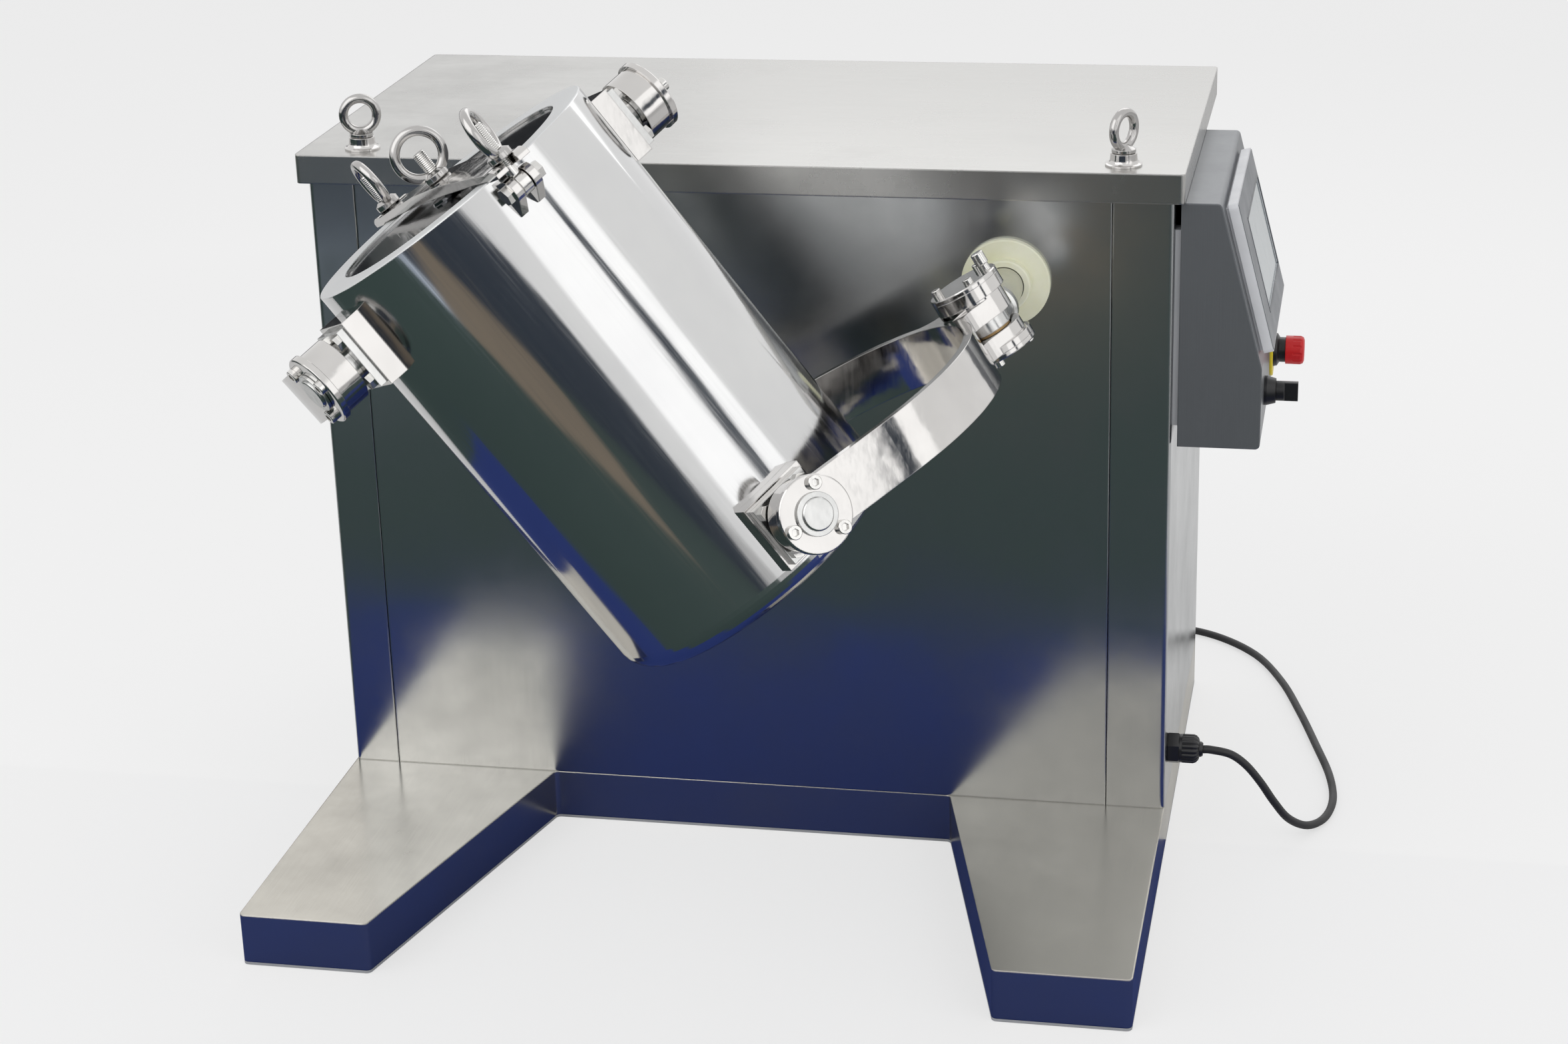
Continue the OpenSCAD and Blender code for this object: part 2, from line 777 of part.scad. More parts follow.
module thrust_washers() {
    t = slot_half - tongue_t / 2 - face_gap;
    color("goldenrod") in_driven_yoke() for (s = [0, 1]) mirror([0, 0, s])
        translate([0, 0, slot_half - t]) ring(pin_d + 2 * run_gap, 2 * tongue_r - 4, t);
}

// Drive inside the cabinet

module gear_reducer() {
    half = reducer_w / 2;
    foot_h = 10;
    color("slategray") translate([drive_pivot.x, reducer_y, shaft_z]) difference() {
        union() {
            translate([-half, -half, -half]) cube(reducer_w);
            rotate([90, 0, 0]) cylinder(d = reducer_w * 0.82, h = reducer_w + 12, center = true);
            translate([0, 0, -worm_drop]) rotate([0, 90, 0])
                cylinder(d = worm_case_d, h = reducer_w + 10, center = true);
            translate([0, 0, -worm_drop]) rotate([0, 90, 0]) cylinder(d = worm_case_d, h = half + 15);
            translate([-half, -half + 8, -worm_drop - worm_case_d / 2 - foot_h / 2])
                cube([reducer_w, reducer_w - 16, foot_h * 2]);
        }
        rotate([90, 0, 0]) cylinder(d = shaft_d + 2 * run_gap, h = reducer_w + 20, center = true);
    }
}

module drive_motor() {
    start = reducer_w / 2 + 15;
    flange = 12;
    fins = 20;
    cowl = 55;
    body_d = motor_d - 14;
    color("steelblue") translate([drive_pivot.x + start, reducer_y, shaft_z - worm_drop]) rotate([0, 90, 0]) {
        cylinder(d = motor_d, h = flange);
        cylinder(d = body_d, h = motor_l);
        for (i = [0:fins - 1]) rotate([0, 0, i * 360 / fins])
            translate([0, -1, flange - eps]) cube([motor_d / 2 - 1, 2, motor_l - flange - cowl]);
        translate([0, 0, motor_l - cowl]) disc(motor_d, cowl, 8);
        translate([-body_d / 2 - 22, -35, 30]) cube([40, 70, 75]);
    }
}

module reducer_bracket() {
    shelf_z = shaft_z - worm_drop - worm_case_d / 2 - 5;
    half = reducer_w / 2 + 4;
    shelf = 8;
    leg = 6;
    color("gray") translate([drive_pivot.x, reducer_y - reducer_w / 2, 0]) {
        translate([-half, 0, shelf_z - shelf]) cube([2 * half, reducer_w, shelf]);
        for (x = [-half, half - leg])
            translate([x, 0, base_h]) cube([leg, reducer_w, shelf_z - base_h - shelf + eps]);
        translate([-half, 0, base_h]) cube([2 * half + 48, reducer_w, leg]);
    }
}

module inverter() {
    fin = 3;
    color("dimgray") translate([-inverter_w / 2, plate_back, 220]) {
        translate([0, 30, 0]) cube([inverter_w, inverter_d - 30, inverter_h]);
        cube([inverter_w, fin, inverter_h]);
        for (i = [0:9])
            translate([i * (inverter_w - fin) / 9, 0, 0]) cube([fin, 31, inverter_h]);
    }
}

// Yokes

// Outline of one yoke seen along its base pivot: a strap in a U with a flared neck
module strap_outline() {
    inner = strap_r - strap_t;
    difference() {
        union() {
            translate([strap_x, 0]) circle(r = strap_r, $fn = 120);
            translate([strap_x, -strap_r]) square([link - strap_x, 2 * strap_r]);
        }
        translate([strap_x, 0]) circle(r = inner, $fn = 120);
        translate([strap_x, -inner]) square([link, 2 * inner]);
    }
}

neck_x = strap_x - sqrt(pow(strap_r + neck_r, 2) - pow(ear_r + neck_r, 2));
neck_end = atan2(ear_r + neck_r, strap_x - neck_x);

module neck_outline() {
    side = concat(
        [[0, ear_r]],
        arc([neck_x, ear_r + neck_r], neck_r, 270, 360 - neck_end, 6),
        [[strap_x - (strap_r - strap_t / 2) * cos(neck_end), (strap_r - strap_t / 2) * sin(neck_end)]]);
    far = [strap_base + strap_t / 2, 0];
    polygon(concat(side, [far], [for (i = [len(side) - 1:-1:0]) [side[i].x, -side[i].y]]));
}

module yoke(slot) {
    gusset_x = strap_base + 4;
    neck_low = min(strap_w / 2, ear_bottom);
    difference() {
        union() {
            translate([0, 0, -strap_w / 2]) linear_extrude(strap_w) strap_outline();
            translate([0, 0, -neck_low]) linear_extrude(strap_w / 2 + neck_low) neck_outline();
            for (s = [-1, 1]) translate([link, s * boss_in, 0]) rotate([-90 * s, 0, 0])
                cylinder(d = boss_d, h = boss_l);
            translate([0, 0, -ear_bottom]) cylinder(d = ear_d, h = ear_bottom + ear_top);
            translate([0, 0, -ear_bottom]) cylinder(d = ear_cap_d, h = flange_lip);
            translate([0, 0, ear_top - top_lip]) cylinder(d = ear_cap_d, h = top_lip);
            rotate([90, 0, 0]) translate([0, 0, -ear_r * 0.7]) linear_extrude(ear_r * 1.4) polygon([
                [0, -ear_bottom + flange_lip], [ear_r * 0.6, -ear_bottom + flange_lip],
                [gusset_x, -strap_w / 2], [gusset_x, strap_w / 2],
                [ear_r * 0.6, ear_top - top_lip], [0, ear_top - top_lip]]);
        }
        translate([0, 0, -ear_bottom - 1]) cylinder(d = ear_bush_d, h = ear_bottom + ear_top + 2);
        translate([-ear_d, -ear_d * 2, -slot / 2]) cube([ear_d + slot_deep, ear_d * 4, slot]);
        translate([link, 0, 0]) rotate([90, 0, 0])
            cylinder(d = boss_bush_d, h = 2 * boss_out + 2, center = true);
    }
}

module drive_yoke() {
    color("whitesmoke") in_drive_yoke() yoke(open_slot_w);
}

module driven_yoke() {
    color("whitesmoke") in_driven_yoke() yoke(slot_w);
}

// Bushes of one yoke's trunnion bosses
module boss_bushes() {
    for (s = [-1, 1]) translate([link, s * boss_in, 0]) rotate([-90 * s, 0, 0])
        ring(journal_d + 2 * run_gap, boss_bush_d, boss_l);
}

module drive_yoke_bushes() {
    color("goldenrod") in_drive_yoke() boss_bushes();
}

module driven_yoke_bushes() {
    color("goldenrod") in_driven_yoke() {
        boss_bushes();
        for (s = [0, 1]) mirror([0, 0, s])
            translate([0, 0, slot_half]) ring(pin_d + 2 * run_gap, ear_bush_d, ear_short - slot_half);
    }
}

// Screw places on one yoke, with +Z pointing off the cap
module on_ear_screws() {
    for (end = [[ear_top, 0], [-ear_bottom, 180]], i = [0:2])
        translate([0, 0, end[0]]) rotate([end[1], 0, 0]) rotate([0, 0, ear_screw_turn + 120 * i])
            translate([ear_screw_pcd / 2, 0, ear_cap_t]) children();
}

module on_boss_screws() {
    for (s = [-1, 1], i = [0:2])
        translate([link, s * boss_out, 0]) rotate([-90 * s, 0, 0]) rotate([0, 0, boss_screw_turn + 120 * i])
            translate([boss_screw_pcd / 2, 0, boss_cap_t]) children();
}

module yoke_caps() {
    difference() {
        union() {
            translate([0, 0, ear_top]) disc(ear_cap_d, ear_cap_t, 1);
            translate([0, 0, -ear_bottom]) rotate([180, 0, 0]) disc(ear_cap_d, ear_cap_t, 1);
            for (s = [-1, 1]) translate([link, s * boss_out, 0]) rotate([-90 * s, 0, 0])
                difference() {
                    disc(boss_cap_d, boss_cap_t, 1);
                    translate([0, 0, -1]) cylinder(d = journal_d + 1, h = boss_cap_t + 2);
                }
        }
        on_ear_screws() translate([0, 0, -ear_cap_t - 1]) cylinder(d = screw_d + 0.6, h = ear_cap_t + 2);
        on_boss_screws() translate([0, 0, -boss_cap_t - 1]) cylinder(d = boss_screw_d + 0.6, h = boss_cap_t + 2);
    }
}

module yoke_screws() {
    on_ear_screws() cap_screw(screw_d, ear_cap_t, screw_d);
    on_boss_screws() cap_screw(boss_screw_d, boss_cap_t, boss_screw_d * 0.65);
}

// A grease cup between two of the upper cap's screws
module grease_cup() {
    rotate([0, 0, ear_screw_turn + 60]) translate([ear_screw_pcd / 2, 0, ear_top + ear_cap_t]) rotate_extrude() polygon([
        [0, 0], [cup_d * 0.4, 0], [cup_d * 0.4, cup_h * 0.35], [cup_d / 2, cup_h * 0.4],
        [cup_d / 2, cup_h - 1], [cup_d / 2 - 1, cup_h], [0, cup_h]]);
}

module drive_yoke_caps() {
    color("silver") in_drive_yoke() yoke_caps();
}

module driven_yoke_caps() {
    color("silver") in_driven_yoke() yoke_caps();
}

module drive_cap_screws() {
    color("silver") in_drive_yoke() yoke_screws();
}

module driven_cap_screws() {
    color("silver") in_driven_yoke() {
        yoke_screws();
        grease_cup();
    }
}

// Barrel

module barrel_shell() {
    in_r = barrel_r - barrel_wall;
    in_knuckle = knuckle_r - barrel_wall;
    color("lightgray") in_barrel() rotate_extrude($fn = 96) polygon(concat(
        [[0, bottom_z]],
        arc([barrel_r - knuckle_r, bottom_z + knuckle_r], knuckle_r, 270, 360, 8),
        [[barrel_r, rim_z - 1], [barrel_r - 1, rim_z], [mouth_d / 2, rim_z], [mouth_d / 2, seat_z],
            [throat_d / 2, seat_z], [throat_d / 2, rim_z - rim_t], [in_r, rim_z - rim_t]],
        arc([barrel_r - knuckle_r, bottom_z + knuckle_r], in_knuckle, 360, 270, 8),
        [[0, bottom_z + barrel_wall]]));
}

module barrel_pads() {
    color("lightgray") in_barrel() difference() {
        on_trunnions() translate([-pad_w / 2, -pad_w / 2, barrel_r * 0.9])
            cube([pad_w, pad_w, pad_r - barrel_r * 0.9]);
        cylinder(r = barrel_r, h = 3 * link, center = true, $fn = 96);
    }
}

module trunnions() {
    color("silver") in_barrel() difference() {
        on_trunnions() {
            translate([-flange_w / 2, -flange_w / 2, pad_r]) cube([flange_w, flange_w, flange_t]);
            translate([0, 0, flange_r - eps]) cylinder(d = trunnion_collar_d, h = boss_space - face_gap + eps);
            translate([0, 0, flange_r]) cylinder(d = journal_d, h = journal_end - flange_r - 1);
            translate([0, 0, journal_end - 1])
                cylinder(d1 = journal_d, d2 = journal_d - 2, h = 1);
        }
        on_trunnions() for (x = [-1, 1], y = [-1, 1])
            translate([x * flange_bolt, y * flange_bolt, pad_r - 1]) cylinder(d = 9, h = flange_t + 2);
    }
}

module trunnion_bolts() {
    bolt = 8;
    color("silver") in_barrel() on_trunnions() for (x = [-1, 1], y = [-1, 1])
        translate([x * flange_bolt, y * flange_bolt, 0]) {
            translate([0, 0, pad_r]) cylinder(d = bolt, h = flange_t + eps);
            translate([0, 0, flange_r]) cylinder(d = 15, h = 5.3, $fn = 6);
        }
}

module retaining_rings() {
    color("dimgray") in_barrel() on_trunnions()
        translate([0, 0, cap_out + face_gap]) ring(journal_d, ring_d, ring_t);
}

// Clamp

// Children at the front and back swing bolts' hinge pins, with +X pointing away from the barrel
module at_hinge(side) {
    rotate([0, 0, side > 0 ? 0 : 180]) translate([bolt_x, 0, pin_z]) children();
}

module clamp_lugs() {
    nose = bolt_eye_d / 2 + 1;
    root = 24;
    color("lightgray") in_barrel() difference() {
        for (side = [-1, 1]) at_hinge(side) for (s = [-1, 1])
            translate([0, s * (lug_gap + lug_t) / 2 + lug_t / 2, 0]) rotate([90, 0, 0]) difference() {
                linear_extrude(lug_t) polygon(concat(
                    [[-bolt_out - 8, nose - 1], [-bolt_out - 8, -root]],
                    [[-bolt_out + 2, -root]],
                    arc([0, 0], nose, -50, 90, 8)));
                translate([0, 0, -1]) cylinder(d = hinge_pin_d, h = lug_t + 2);
            }
        cylinder(r = barrel_r, h = 3 * link, center = true, $fn = 96);
    }
}

module hinge_pins() {
    span = lug_gap + 2 * lug_t;
    color("silver") in_barrel() for (side = [-1, 1]) at_hinge(side) rotate([90, 0, 0]) {
        cylinder(d = hinge_pin_d, h = span, center = true);
        translate([0, 0, span / 2 - eps]) cylinder(d = 17.5, h = 6.4, $fn = 6);
        translate([0, 0, -span / 2 - 7]) cylinder(d = 17.5, h = 7 + eps, $fn = 6);
    }
}

module swing_bolt() {
    eye_w = lug_gap - 1;
    difference() {
        union() {
            rotate([90, 0, 0]) cylinder(d = bolt_eye_d, h = eye_w, center = true);
            cylinder(d = bolt_d, h = hinge_drop + bolt_over - 1);
            translate([0, 0, hinge_drop + bolt_over - 1]) cylinder(d1 = bolt_d, d2 = bolt_d - 2, h = 1);
        }
        rotate([90, 0, 0]) cylinder(d = hinge_pin_d + 2 * run_gap, h = 2 * eye_w, center = true);
    }
}

module front_swing_bolt() {
    color("silver") in_barrel() at_hinge(1) swing_bolt();
}

module back_swing_bolt() {
    color("silver") in_barrel() at_hinge(-1) swing_bolt();
}

// An eye nut standing on z = 0, bored for its bolt
module eye_nut(turn) {
    ring_z = nut_ring_r + nut_rod_d / 2 + 1.2;
    difference() {
        union() {
            rotate_extrude() polygon([
                [0, 0], [nut_collar_d / 2 - 1, 0], [nut_collar_d / 2, 1],
                [nut_collar_d / 2, nut_collar_h - 3], [nut_collar_d / 2 - 4, nut_collar_h], [0, nut_collar_h]]);
            translate([0, 0, ring_z]) eye_ring(nut_ring_r, nut_rod_d, turn);
        }
        translate([0, 0, -1]) cylinder(d = bolt_d + 2 * run_gap, h = ring_z);
    }
}

module front_eye_nut() {
    color("silver") in_barrel() at_hinge(1) translate([0, 0, nut_base - pin_z]) eye_nut(front_turn);
}

module back_eye_nut() {
    color("silver") in_barrel() at_hinge(-1) translate([0, 0, nut_base - pin_z]) eye_nut(back_turn);
}

module centre_eye_nut() {
    color("silver") in_barrel() translate([0, 0, bar_mid + face_gap]) eye_nut(centre_turn);
}

module centre_screw() {
    foot = 3;
    low = lid_top + foot + face_gap;
    color("silver") in_barrel() translate([0, 0, low])
        cylinder(d = bolt_d, h = bar_mid + face_gap + nut_ring_r + 8 - low);
}

module lid() {
    r = mouth_d / 2 - lid_gap;
    color("lightgray") in_barrel() translate([0, 0, lid_z]) rotate_extrude($fn = 96) polygon([
        [0, 0], [r, 0], [r, lid_t - 1], [r - 1, lid_t], [20, lid_t], [19, lid_t + 3], [0, lid_t + 3]]);
}

module lid_gasket() {
    out_d = mouth_d - 6;
    color("ivory") in_barrel() translate([0, 0, seat_z]) ring(out_d - 2 * gasket_w, out_d, gasket_t);
}

// The bar's ends are seats round the hinge pins, so that the bolts swing clear
module clamp_bar() {
    seat_r = bar_seat - pin_z;
    tip_x = bolt_x + 15;
    drop_x = bolt_x - 11;
    side = concat(
        [[0, bar_mid], [38, bar_mid], [drop_x - 30, bar_seat + 1], [drop_x, bar_seat - 1]],
        arc([bolt_x, pin_z], seat_r, 103, 90 - asin((tip_x - bolt_x) / seat_r), 6),
        [[tip_x, bar_seat - bar_t + 1], [drop_x + 4, bar_seat - bar_t + 1],
            [drop_x - 4, bar_low], [drop_x - 30, bar_low + 1], [38, bar_mid - bar_t], [0, bar_mid - bar_t]]);
    color("silver") in_barrel() difference() {
        union() {
            for (m = [0, 1]) mirror([m, 0, 0]) rotate([90, 0, 0])
                translate([0, 0, -bar_w / 2]) linear_extrude(bar_w) polygon(side);
            translate([0, 0, bar_mid - bar_t - 1]) cylinder(d = bar_w - 2, h = bar_t + 1);
        }
        for (m = [0, 1]) mirror([m, 0, 0]) {
            translate([bolt_x, 0, bar_low - bar_t]) cylinder(d = bolt_slot, h = 3 * bar_t);
            translate([bolt_x, -bolt_slot / 2, bar_low - bar_t]) cube([bar_w, bolt_slot, 3 * bar_t]);
        }
        translate([0, 0, bar_low - bar_t]) cylinder(d = bolt_d + 2 * run_gap, h = 4 * bar_t);
    }
}

// Control box

box_outline = [
    [box_x, box_low],
    [box_face, box_low],
    [box_face, box_bend],
    [box_shoulder, box_top],
    [box_x, box_top]
];

// Children on the slope: X runs down it, Y runs back along it and Z points out of it
module on_slope() {
    translate([box_shoulder, front, box_top]) rotate([0, 90 - slope_turn, 0]) children();
}

module on_box_face(y) {
    translate([box_face, front + y, switch_z]) rotate([0, 90, 0]) children();
}

module control_box() {
    color("gainsboro") difference() {
        translate([0, front + box_d, 0]) rotate([90, 0, 0])
            linear_extrude(box_d) polygon(rounded(box_outline, [0, box_r, box_r * 2, box_r, 0]));
        translate([0, front + box_d - sheet, 0]) rotate([90, 0, 0])
            linear_extrude(box_d - 2 * sheet) polygon(inset(box_outline, sheet));
        for (y = [selector_y, estop_y]) on_box_face(y) translate([0, 0, -2 * sheet])
            cylinder(d = 22, h = 4 * sheet);
    }
}

module box_mount_strip() {
    low = box_low + 22;
    high = box_top - 29;
    color("gray") for (y = [4, box_d - 24])
        translate([half_w, front + y, low]) cube([box_gap, 20, high - low]);
}

module touch_panel_frame() {
    rise = touch_gasket + touch_t;
    margin = (slope_l - touch_h) / 2;
    pocket = 1.5;
    outline = [[0, 0], [touch_h, 0], [touch_h, touch_l], [0, touch_l]];
    color("lightgray") on_slope() translate([margin, touch_y - 14, 0]) difference() {
        union() {
            translate([4, 4, 0]) cube([touch_h - 8, touch_l - 8, touch_gasket + eps]);
            translate([0, 0, touch_gasket]) linear_extrude(touch_t) polygon(rounded(outline, 6));
        }
        translate([screen_drop, (touch_l - screen_l) * 0.85, rise - pocket])
            cube([screen_h, screen_l, pocket + 1]);
    }
}

module touch_screen() {
    rise = touch_gasket + touch_t;
    margin = (slope_l - touch_h) / 2;
    pocket = 1.5;
    color("slategray") on_slope()
        translate([margin + screen_drop + 0.2, touch_y - 14 + (touch_l - screen_l) * 0.85 + 0.2, rise - pocket])
            cube([screen_h - 0.4, screen_l - 0.4, pocket - 0.4]);
}

collar_h = 16;
estop_plate_t = 3;
estop_stem_d = 16;
estop_skirt_d = 28;

module estop_plate() {
    color("gold") on_box_face(estop_y) difference() {
        disc(estop_plate_d, estop_plate_t, 0.8);
        translate([0, 0, -1]) cylinder(d = estop_stem_d + 0.6, h = estop_plate_t + 2);
    }
}

module estop_collar() {
    top_r = estop_skirt_d / 2 - 0.4;
    color("dimgray") on_box_face(estop_y) rotate_extrude() polygon([
        [estop_stem_d / 2 + 0.3, estop_plate_t], [top_r + 5, estop_plate_t], [top_r + 4, 7],
        [top_r, collar_h - estop_travel - 1.5], [top_r, collar_h], [estop_stem_d / 2 + 0.3, collar_h]]);
}

module estop_head() {
    head_h = 20;
    skirt = estop_travel + 1;
    flutes = 12;
    out_r = estop_d / 2;
    color("firebrick") on_box_face(estop_y) difference() {
        rotate_extrude() polygon([
            [0, collar_h - 7], [estop_stem_d / 2, collar_h - 7], [estop_stem_d / 2, collar_h + skirt],
            [estop_skirt_d / 2, collar_h + skirt], [estop_skirt_d / 2, collar_h], [out_r, collar_h],
            [out_r, collar_h + head_h - 4], [out_r - 1.2, collar_h + head_h - 1.2],
            [out_r - 4, collar_h + head_h], [0, collar_h + head_h]]);
        for (i = [0:flutes - 1]) rotate([0, 0, i * 360 / flutes])
            translate([out_r + 1.6, 0, collar_h + skirt + 2]) cylinder(r = 2.4, h = head_h, $fn = 16);
    }
}

bezel_h = 12;

module selector_bezel() {
    color("dimgray") on_box_face(selector_y) rotate_extrude() polygon([
        [knob_d / 2 - 2, 0], [bezel_d / 2, 0], [bezel_d / 2, 3], [bezel_d / 2 - 2.5, bezel_h],
        [knob_d / 2 - 2, bezel_h]]);
}

module selector_knob() {
    neck_r = knob_d / 2 - 2.5;
    cap_h = 9;
    grip_h = 15;
    color("dimgray") on_box_face(selector_y) {
        translate([0, 0, 4]) cylinder(r = neck_r, h = bezel_h);
        translate([0, 0, bezel_h + face_gap]) disc(knob_d, cap_h, 0.8);
        intersection() {
            translate([0, 0, bezel_h + face_gap]) cylinder(d = knob_d, h = cap_h + grip_h);
            translate([-knob_d / 2, -4, bezel_h + cap_h - 1]) cube([knob_d, 8, grip_h]);
        }
    }
}

// Cord and gland

module cable_gland() {
    body_l = 13;
    nut_l = 20;
    locknut = 8;
    color("dimgray") translate([half_w, front + gland_y, gland_z]) rotate([0, 90, 0]) {
        cylinder(d = gland_d + 8, h = body_l, $fn = 6);
        translate([0, 0, body_l - eps]) disc(gland_d + 4, nut_l, 4);
        translate([0, 0, body_l]) cylinder(d = cord_d + 8, h = gland_end - half_w - body_l);
        translate([0, 0, -sheet - locknut - 3]) cylinder(d = gland_d, h = sheet + locknut + 3 + eps);
        translate([0, 0, -sheet - locknut]) cylinder(d = gland_d + 8, h = locknut, $fn = 6);
    }
}

// A point at fraction t between b and c on a smooth curve through a, b, c and d
function between(a, b, c, d, t) =
    ((2 * b) + (c - a) * t + (2 * a - 5 * b + 4 * c - d) * t * t + (3 * b - a - 3 * c + d) * t * t * t) / 2;

function curve(p, steps) = concat(
    [for (i = [0:len(p) - 2], k = [0:steps - 1])
        between(p[max(i - 1, 0)], p[i], p[i + 1], p[min(i + 2, len(p) - 1)], k / steps)],
    [p[len(p) - 1]]);

function heading(p, i) =
    i == 0 ? unit(p[1] - p[0]) : i == len(p) - 1 ? unit(p[i] - p[i - 1]) : unit(p[i + 1] - p[i - 1]);

// One closed tube along the points p, each ring square to the path
module tube(p, d, sides, lean) {
    n = len(p);
    points = [for (i = [0:n - 1]) let (t = heading(p, i), a = unit(cross(t, lean)), b = cross(t, a))
        each [for (k = [0:sides - 1]) p[i] + d / 2 * (a * cos(k * 360 / sides) + b * sin(k * 360 / sides))]];
    // Each quad is split in two so that every face is flat
    faces = concat(
        [[for (k = [0:sides - 1]) k]],
        [for (i = [0:n - 2], k = [0:sides - 1]) [i * sides + k, (i + 1) * sides + k, i * sides + (k + 1) % sides]],
        [for (i = [0:n - 2], k = [0:sides - 1])
            [(i + 1) * sides + k, (i + 1) * sides + (k + 1) % sides, i * sides + (k + 1) % sides]],
        [[for (k = [sides - 1:-1:0]) (n - 1) * sides + k]]);
    polyhedron(points, faces);
}

module power_cord() {
    color("dimgray") tube(curve(cord_route, 3), cord_d, 10, [1, -1, 1]);
}

// The coil winds in and out again in two layers and climbs in the half turn where it reverses
coil_mid = 90 + 360 * coil_turns;
coil_end = 90 + 720 * coil_turns;
function smooth(t) = let (s = min(max(t, 0), 1)) s * s * (3 - 2 * s);
function coil_point(a) =
    let (r = coil_in_r + coil_pitch * abs(a - coil_mid) / 360)
    [coil_at.x + r * cos(a), coil_at.y + r * sin(a), cord_r + coil_pitch * smooth((a - coil_mid + 90) / 180)];
coil_rings = 24;
coil_points = concat(
    [coil_point(90) + [coil_lead, 0, 0]],
    [for (a = [90:360 / coil_rings:coil_end]) coil_point(a)],
    [coil_point(coil_end) - [plug_lead, 0, 0]]);
coil_gap = min([for (i = [0:len(coil_points) - 1], j = [i + 6:1:len(coil_points) - 1])
    norm(coil_points[i] - coil_points[j])]) - cord_d;
echo(coil_gap = coil_gap);

module cord_coil() {
    color("dimgray") tube(coil_points, cord_d, 6, [0, 0, 1]);
}

module plug() {
    at = coil_point(coil_end) - [plug_lead, 0, 0];
    body = [40, 28, 26];
    neck = 16;
    prong = [18, 2, 6];
    color("dimgray") translate(at) {
        translate([-neck, 0, 0]) rotate([0, 90, 0]) cylinder(d1 = 20, d2 = 13, h = neck);
        translate([-neck - body.x + 2, 0, 0]) rotate([90, 0, 90]) translate([0, 0, -2])
            linear_extrude(body.x) polygon(rounded([
                [-body.y / 2, -body.z / 2], [body.y / 2, -body.z / 2],
                [body.y / 2, body.z / 2], [-body.y / 2, body.z / 2]], 6));
        for (y = [-6.5, 4.5])
            translate([-neck - body.x - prong.x + eps, y, -prong.z / 2]) cube(prong);
    }
}

base_frame();
base_floor();
front_panel();
left_panel();
right_panel();
rear_panel();
top_cover();
lifting_bosses();
lifting_eyes();
panel_screws();
bearing_plate();
bearing_housings();
shaft_bearings();
shaft_seals();
drive_shaft();
driven_shaft();
drive_pin();
driven_pin();
thrust_washers();
gear_reducer();
drive_motor();
reducer_bracket();
inverter();
drive_yoke();
driven_yoke();
drive_yoke_bushes();
driven_yoke_bushes();
drive_yoke_caps();
driven_yoke_caps();
drive_cap_screws();
driven_cap_screws();
barrel_shell();
barrel_pads();
trunnions();
trunnion_bolts();
retaining_rings();
clamp_lugs();
hinge_pins();
lid();
lid_gasket();
clamp_bar();
front_swing_bolt();
back_swing_bolt();
front_eye_nut();
back_eye_nut();
centre_eye_nut();
centre_screw();
control_box();
box_mount_strip();
touch_panel_frame();
touch_screen();
estop_plate();
estop_collar();
estop_head();
selector_bezel();
selector_knob();
cable_gland();
power_cord();
cord_coil();
plug();
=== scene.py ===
"""Looks of the three-dimensional mixer: camera, cord, finishes, small details, floor and light."""

import json
import math

import bmesh
import bpy
from mathutils import Matrix, Vector


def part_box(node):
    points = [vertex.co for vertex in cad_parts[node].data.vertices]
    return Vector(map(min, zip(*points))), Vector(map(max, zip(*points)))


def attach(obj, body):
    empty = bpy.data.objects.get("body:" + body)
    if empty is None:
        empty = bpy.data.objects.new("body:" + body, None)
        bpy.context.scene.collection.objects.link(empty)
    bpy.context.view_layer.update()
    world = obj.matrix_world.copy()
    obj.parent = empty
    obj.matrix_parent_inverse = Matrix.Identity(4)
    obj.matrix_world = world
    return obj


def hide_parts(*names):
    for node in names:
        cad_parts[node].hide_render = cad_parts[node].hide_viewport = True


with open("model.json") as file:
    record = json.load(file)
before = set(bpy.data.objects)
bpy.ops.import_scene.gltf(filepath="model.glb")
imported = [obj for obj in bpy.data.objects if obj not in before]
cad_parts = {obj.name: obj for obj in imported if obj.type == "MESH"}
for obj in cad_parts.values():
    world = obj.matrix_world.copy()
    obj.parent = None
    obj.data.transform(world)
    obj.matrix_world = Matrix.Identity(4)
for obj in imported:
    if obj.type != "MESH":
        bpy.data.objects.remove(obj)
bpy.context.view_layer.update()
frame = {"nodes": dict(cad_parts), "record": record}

MM = 0.001
JOINTS = {joint["name"]: joint for joint in frame["record"]["behaviour"]["joints"]}


# Camera, at the photograph's viewing angle: metres, radians and, for the photograph, pixels

CAMERA_AT = Vector((0.676, -3.2357, 1.5361))
CAMERA_YAW = 0.2102
CAMERA_PITCH = 0.3618
CAMERA_ROLL = 0.0475
PHOTO_WIDTH = 2354
PHOTO_FOCUS = 4567.3
SENSOR_WIDTH = 36
CLIP_START = 0.05


def make_camera():
    """The scene's camera, with the place, turn and focal length of the photograph's."""
    data = bpy.data.cameras.new("camera")
    data.sensor_width = SENSOR_WIDTH
    data.lens = SENSOR_WIDTH * PHOTO_FOCUS / PHOTO_WIDTH
    data.clip_start = CLIP_START
    camera = bpy.data.objects.new("camera", data)
    bpy.context.collection.objects.link(camera)
    # Rows of the turned matrix are the camera's right, down and forward directions
    level = Matrix(((1, 0, 0), (0, 0, -1), (0, 1, 0)))
    turned = (
        Matrix.Rotation(CAMERA_YAW, 3, "Y")
        @ Matrix.Rotation(CAMERA_PITCH, 3, "X")
        @ Matrix.Rotation(CAMERA_ROLL, 3, "Z")
        @ level
    )
    right, down, forward = turned
    pose = Matrix((right, -Vector(down), -Vector(forward))).transposed().to_4x4()
    camera.matrix_world = Matrix.Translation(CAMERA_AT) @ pose
    bpy.context.scene.camera = camera


make_camera()


